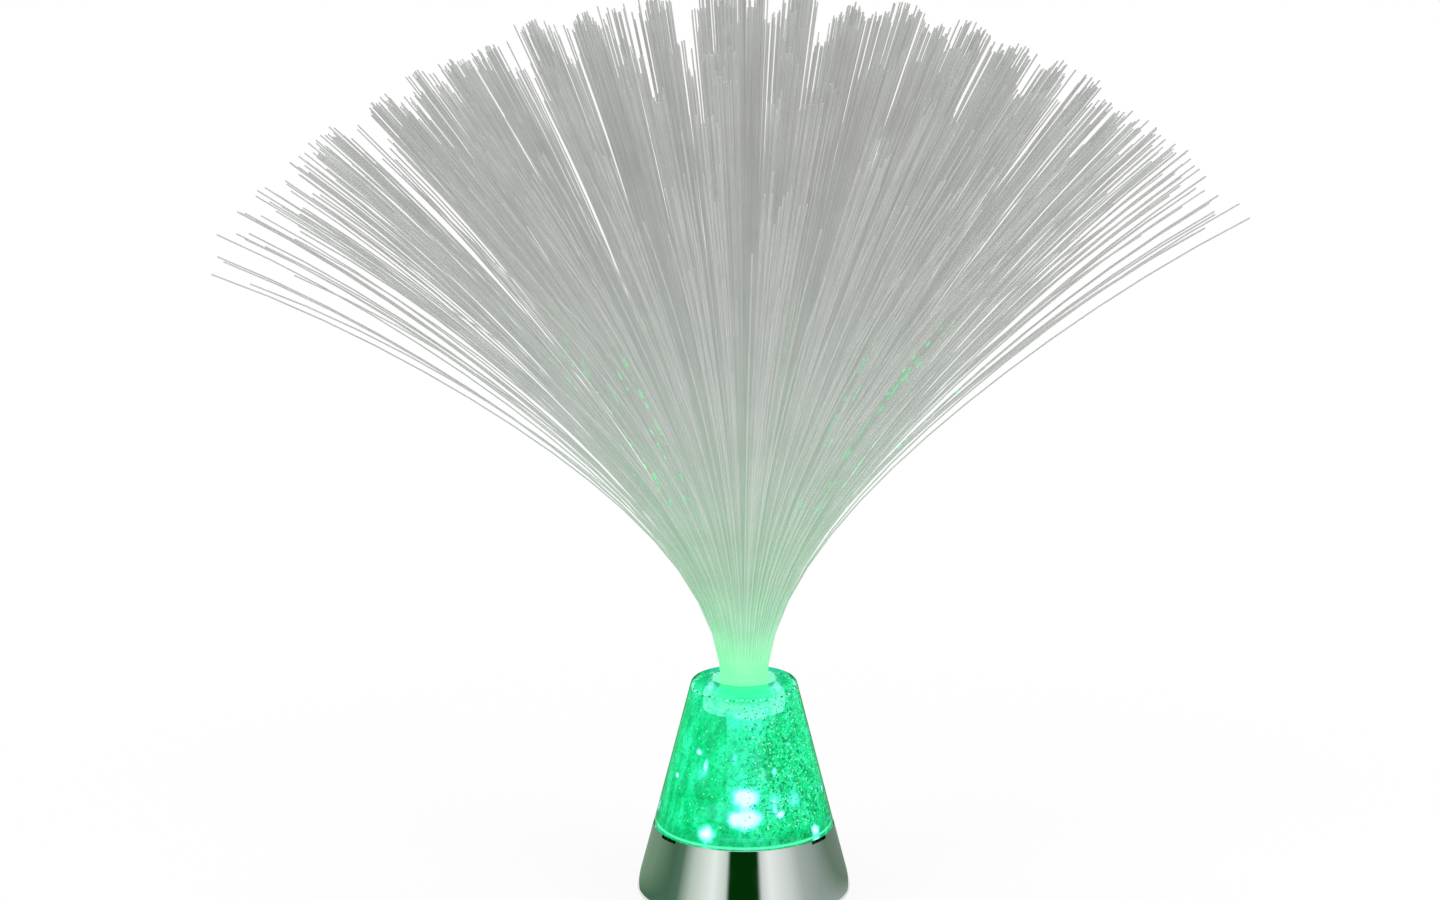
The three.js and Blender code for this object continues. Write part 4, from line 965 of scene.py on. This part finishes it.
def dress_frame():
    """The frame's own pieces that stay get their finish."""
    finishes = slot_materials()
    for name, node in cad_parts.items():
        known = sorted((start for start in FINISHES if name.startswith(start)), key=len)
        if known:
            node.data.materials.clear()
            node.data.materials.append(finishes[FINISHES[known[-1]]])


# Camera and lamps
def aim(thing, place, target):
    """Puts a camera or a lamp at a place and turns it to a target."""
    thing.location = place
    thing.rotation_euler = (Vector(target) - Vector(place)).to_track_quat("-Z", "Y").to_euler()


def make_camera():
    """A camera at the photograph's angle."""
    data = bpy.data.cameras.new("camera")
    data.lens, data.sensor_width = LENS, SENSOR_WIDTH
    camera = bpy.data.objects.new("camera", data)
    bpy.context.scene.collection.objects.link(camera)
    aim(camera, CAMERA_PLACE, CAMERA_TARGET)
    bpy.context.scene.camera = camera


def make_lamp(name, place, size, watts):
    data = bpy.data.lights.new(name, "AREA")
    data.shape, data.size, data.energy = "DISK", size, watts
    lamp = bpy.data.objects.new(name, data)
    bpy.context.scene.collection.objects.link(lamp)
    aim(lamp, place, LIGHT_TARGET)
    lamp.visible_glossy = False


# The room: white to the eye, softer as a light
def seen_white(tree, shade, white):
    """Mixes white in for the camera, for mirrors and for glass, and keeps the shade for other light."""
    path = tree.nodes.new("ShaderNodeLightPath")
    seen = path.outputs["Is Camera Ray"]
    for name in ("Is Glossy Ray", "Is Transmission Ray"):
        either = tree.nodes.new("ShaderNodeMath")
        either.operation = "MAXIMUM"
        tree.links.new(seen, either.inputs[0])
        tree.links.new(path.outputs[name], either.inputs[1])
        seen = either.outputs[0]
    mix = tree.nodes.new("ShaderNodeMixShader")
    tree.links.new(seen, mix.inputs[0])
    tree.links.new(shade, mix.inputs[1])
    tree.links.new(white, mix.inputs[2])
    return mix.outputs[0]


def make_world():
    world = bpy.data.worlds.new("studio")
    bpy.context.scene.world = world
    world.use_nodes = True
    tree = world.node_tree
    soft, white = tree.nodes["Background"], tree.nodes.new("ShaderNodeBackground")
    for shade, strength in ((soft, WORLD_STRENGTH), (white, 1.0)):
        shade.inputs["Color"].default_value = (1, 1, 1, 1)
        shade.inputs["Strength"].default_value = strength
    result = seen_white(tree, soft.outputs[0], white.outputs[0])
    tree.links.new(result, tree.nodes["World Output"].inputs["Surface"])


def floor_surface(shader):
    """A pale floor that looks white, keeps the lamp's shadow and is clear from below."""
    pale, from_middle = shader.surface.outputs[0], shader.distance((0, 0, 0))
    glow = shader.node("Emission", {"Color": (1, 1, 1, 1), "Strength": 1.0}).outputs[0]
    white_share = shader.fade(from_middle, FLOOR_SHADE_REACH, FLOOR_WHITE_REACH, FLOOR_WHITE_SHARE, 1.0)
    white = shader.node("MixShader", {0: white_share, 1: pale, 2: glow}).outputs[0]
    under_base = shader.math("LESS_THAN", from_middle, UNDER_BASE_REACH)
    lets_light_in = shader.math("MULTIPLY", under_base, shader.node("LightPath").outputs["Is Diffuse Ray"])
    from_below = shader.node("NewGeometry").outputs["Backfacing"]
    clear_share = shader.math("MAXIMUM", lets_light_in, from_below)
    clear = shader.node("BsdfTransparent").outputs[0]
    seen = seen_white(shader.tree, pale, white)
    return shader.node("MixShader", {0: clear_share, 1: seen, 2: clear}).outputs[0]


def make_floor():
    corners = [(-FLOOR_HALF, -FLOOR_HALF), (FLOOR_HALF, -FLOOR_HALF), (FLOOR_HALF, FLOOR_HALF),
               (-FLOOR_HALF, FLOOR_HALF)]
    mesh = mesh_of("floor", [(x, y, 0) for x, y in corners], [(0, 1, 2, 3)])
    floor = bpy.data.objects.new("floor", mesh)
    bpy.context.scene.collection.objects.link(floor)
    shader = Shader("floor")
    shader.set(Base_Color=srgb(*FLOOR_COLOUR), Roughness=FLOOR_ROUGHNESS)
    shader.tree.links.new(floor_surface(shader), shader.output.inputs["Surface"])
    floor.data.materials.append(shader.material)


def card_mesh():
    """A low ring round the lamp, and a wall that stands on its outer edge."""
    angles = np.radians(np.linspace(-WALL_SPREAD, WALL_SPREAD, WALL_SIDES + 1))
    ring = [(WALL_RADIUS * math.sin(a), -WALL_RADIUS * math.cos(a)) for a in angles]
    levels = [(CARD_INNER_SHARE, CARD_HEIGHT), (1.0, CARD_HEIGHT), (1.0, WALL_TOP)]
    points = [(x * share, y * share, z) for share, z in levels for x, y in ring]
    count = len(ring)
    faces = [(row + i, row + i + 1, row + count + i + 1, row + count + i)
             for row in (0, count) for i in range(WALL_SIDES)]
    return mesh_of("studio_wall", points, faces)


def card_material():
    shader = Shader("studio_wall")
    azimuth = shader.math("ARCTAN2", shader.axis("X"), shader.math("MULTIPLY", shader.axis("Y"), -1.0))
    spread = math.radians(WALL_SPREAD)
    place = shader.node("MapRange", {"Value": azimuth, "From Min": -spread, "From Max": spread})
    stops = [((angle / WALL_SPREAD + 1) / 2, tuple(c * CARD_LEVEL for c in srgb(*colour)[:3]))
             for angle, colour in WALL_TONES_WITH_GREEN_LIGHT]
    tone = shader.ramp(place.outputs["Result"], stops)
    glow = shader.node("Emission", {"Color": tone, "Strength": 1.0})
    shader.tree.links.new(glow.outputs[0], shader.output.inputs["Surface"])
    return shader.material


def make_studio_wall():
    """Cards round the lamp that only its mirror surfaces show: bright ones, grey ones and a dark gap, with
    the crystal's green light painted into the darker ones.
    """
    wall = bpy.data.objects.new("studio_wall", card_mesh())
    bpy.context.scene.collection.objects.link(wall)
    wall.data.materials.append(card_material())
    for kind in ("camera", "diffuse", "transmission", "volume_scatter", "shadow"):
        setattr(wall, "visible_" + kind, False)


make_camera()
dress_base()
dress_spray()
dress_frame()
make_world()
make_floor()
make_studio_wall()
for lamp in STUDIO_LAMPS:
    make_lamp(*lamp)
bpy.context.scene.view_settings.view_transform = "Standard"
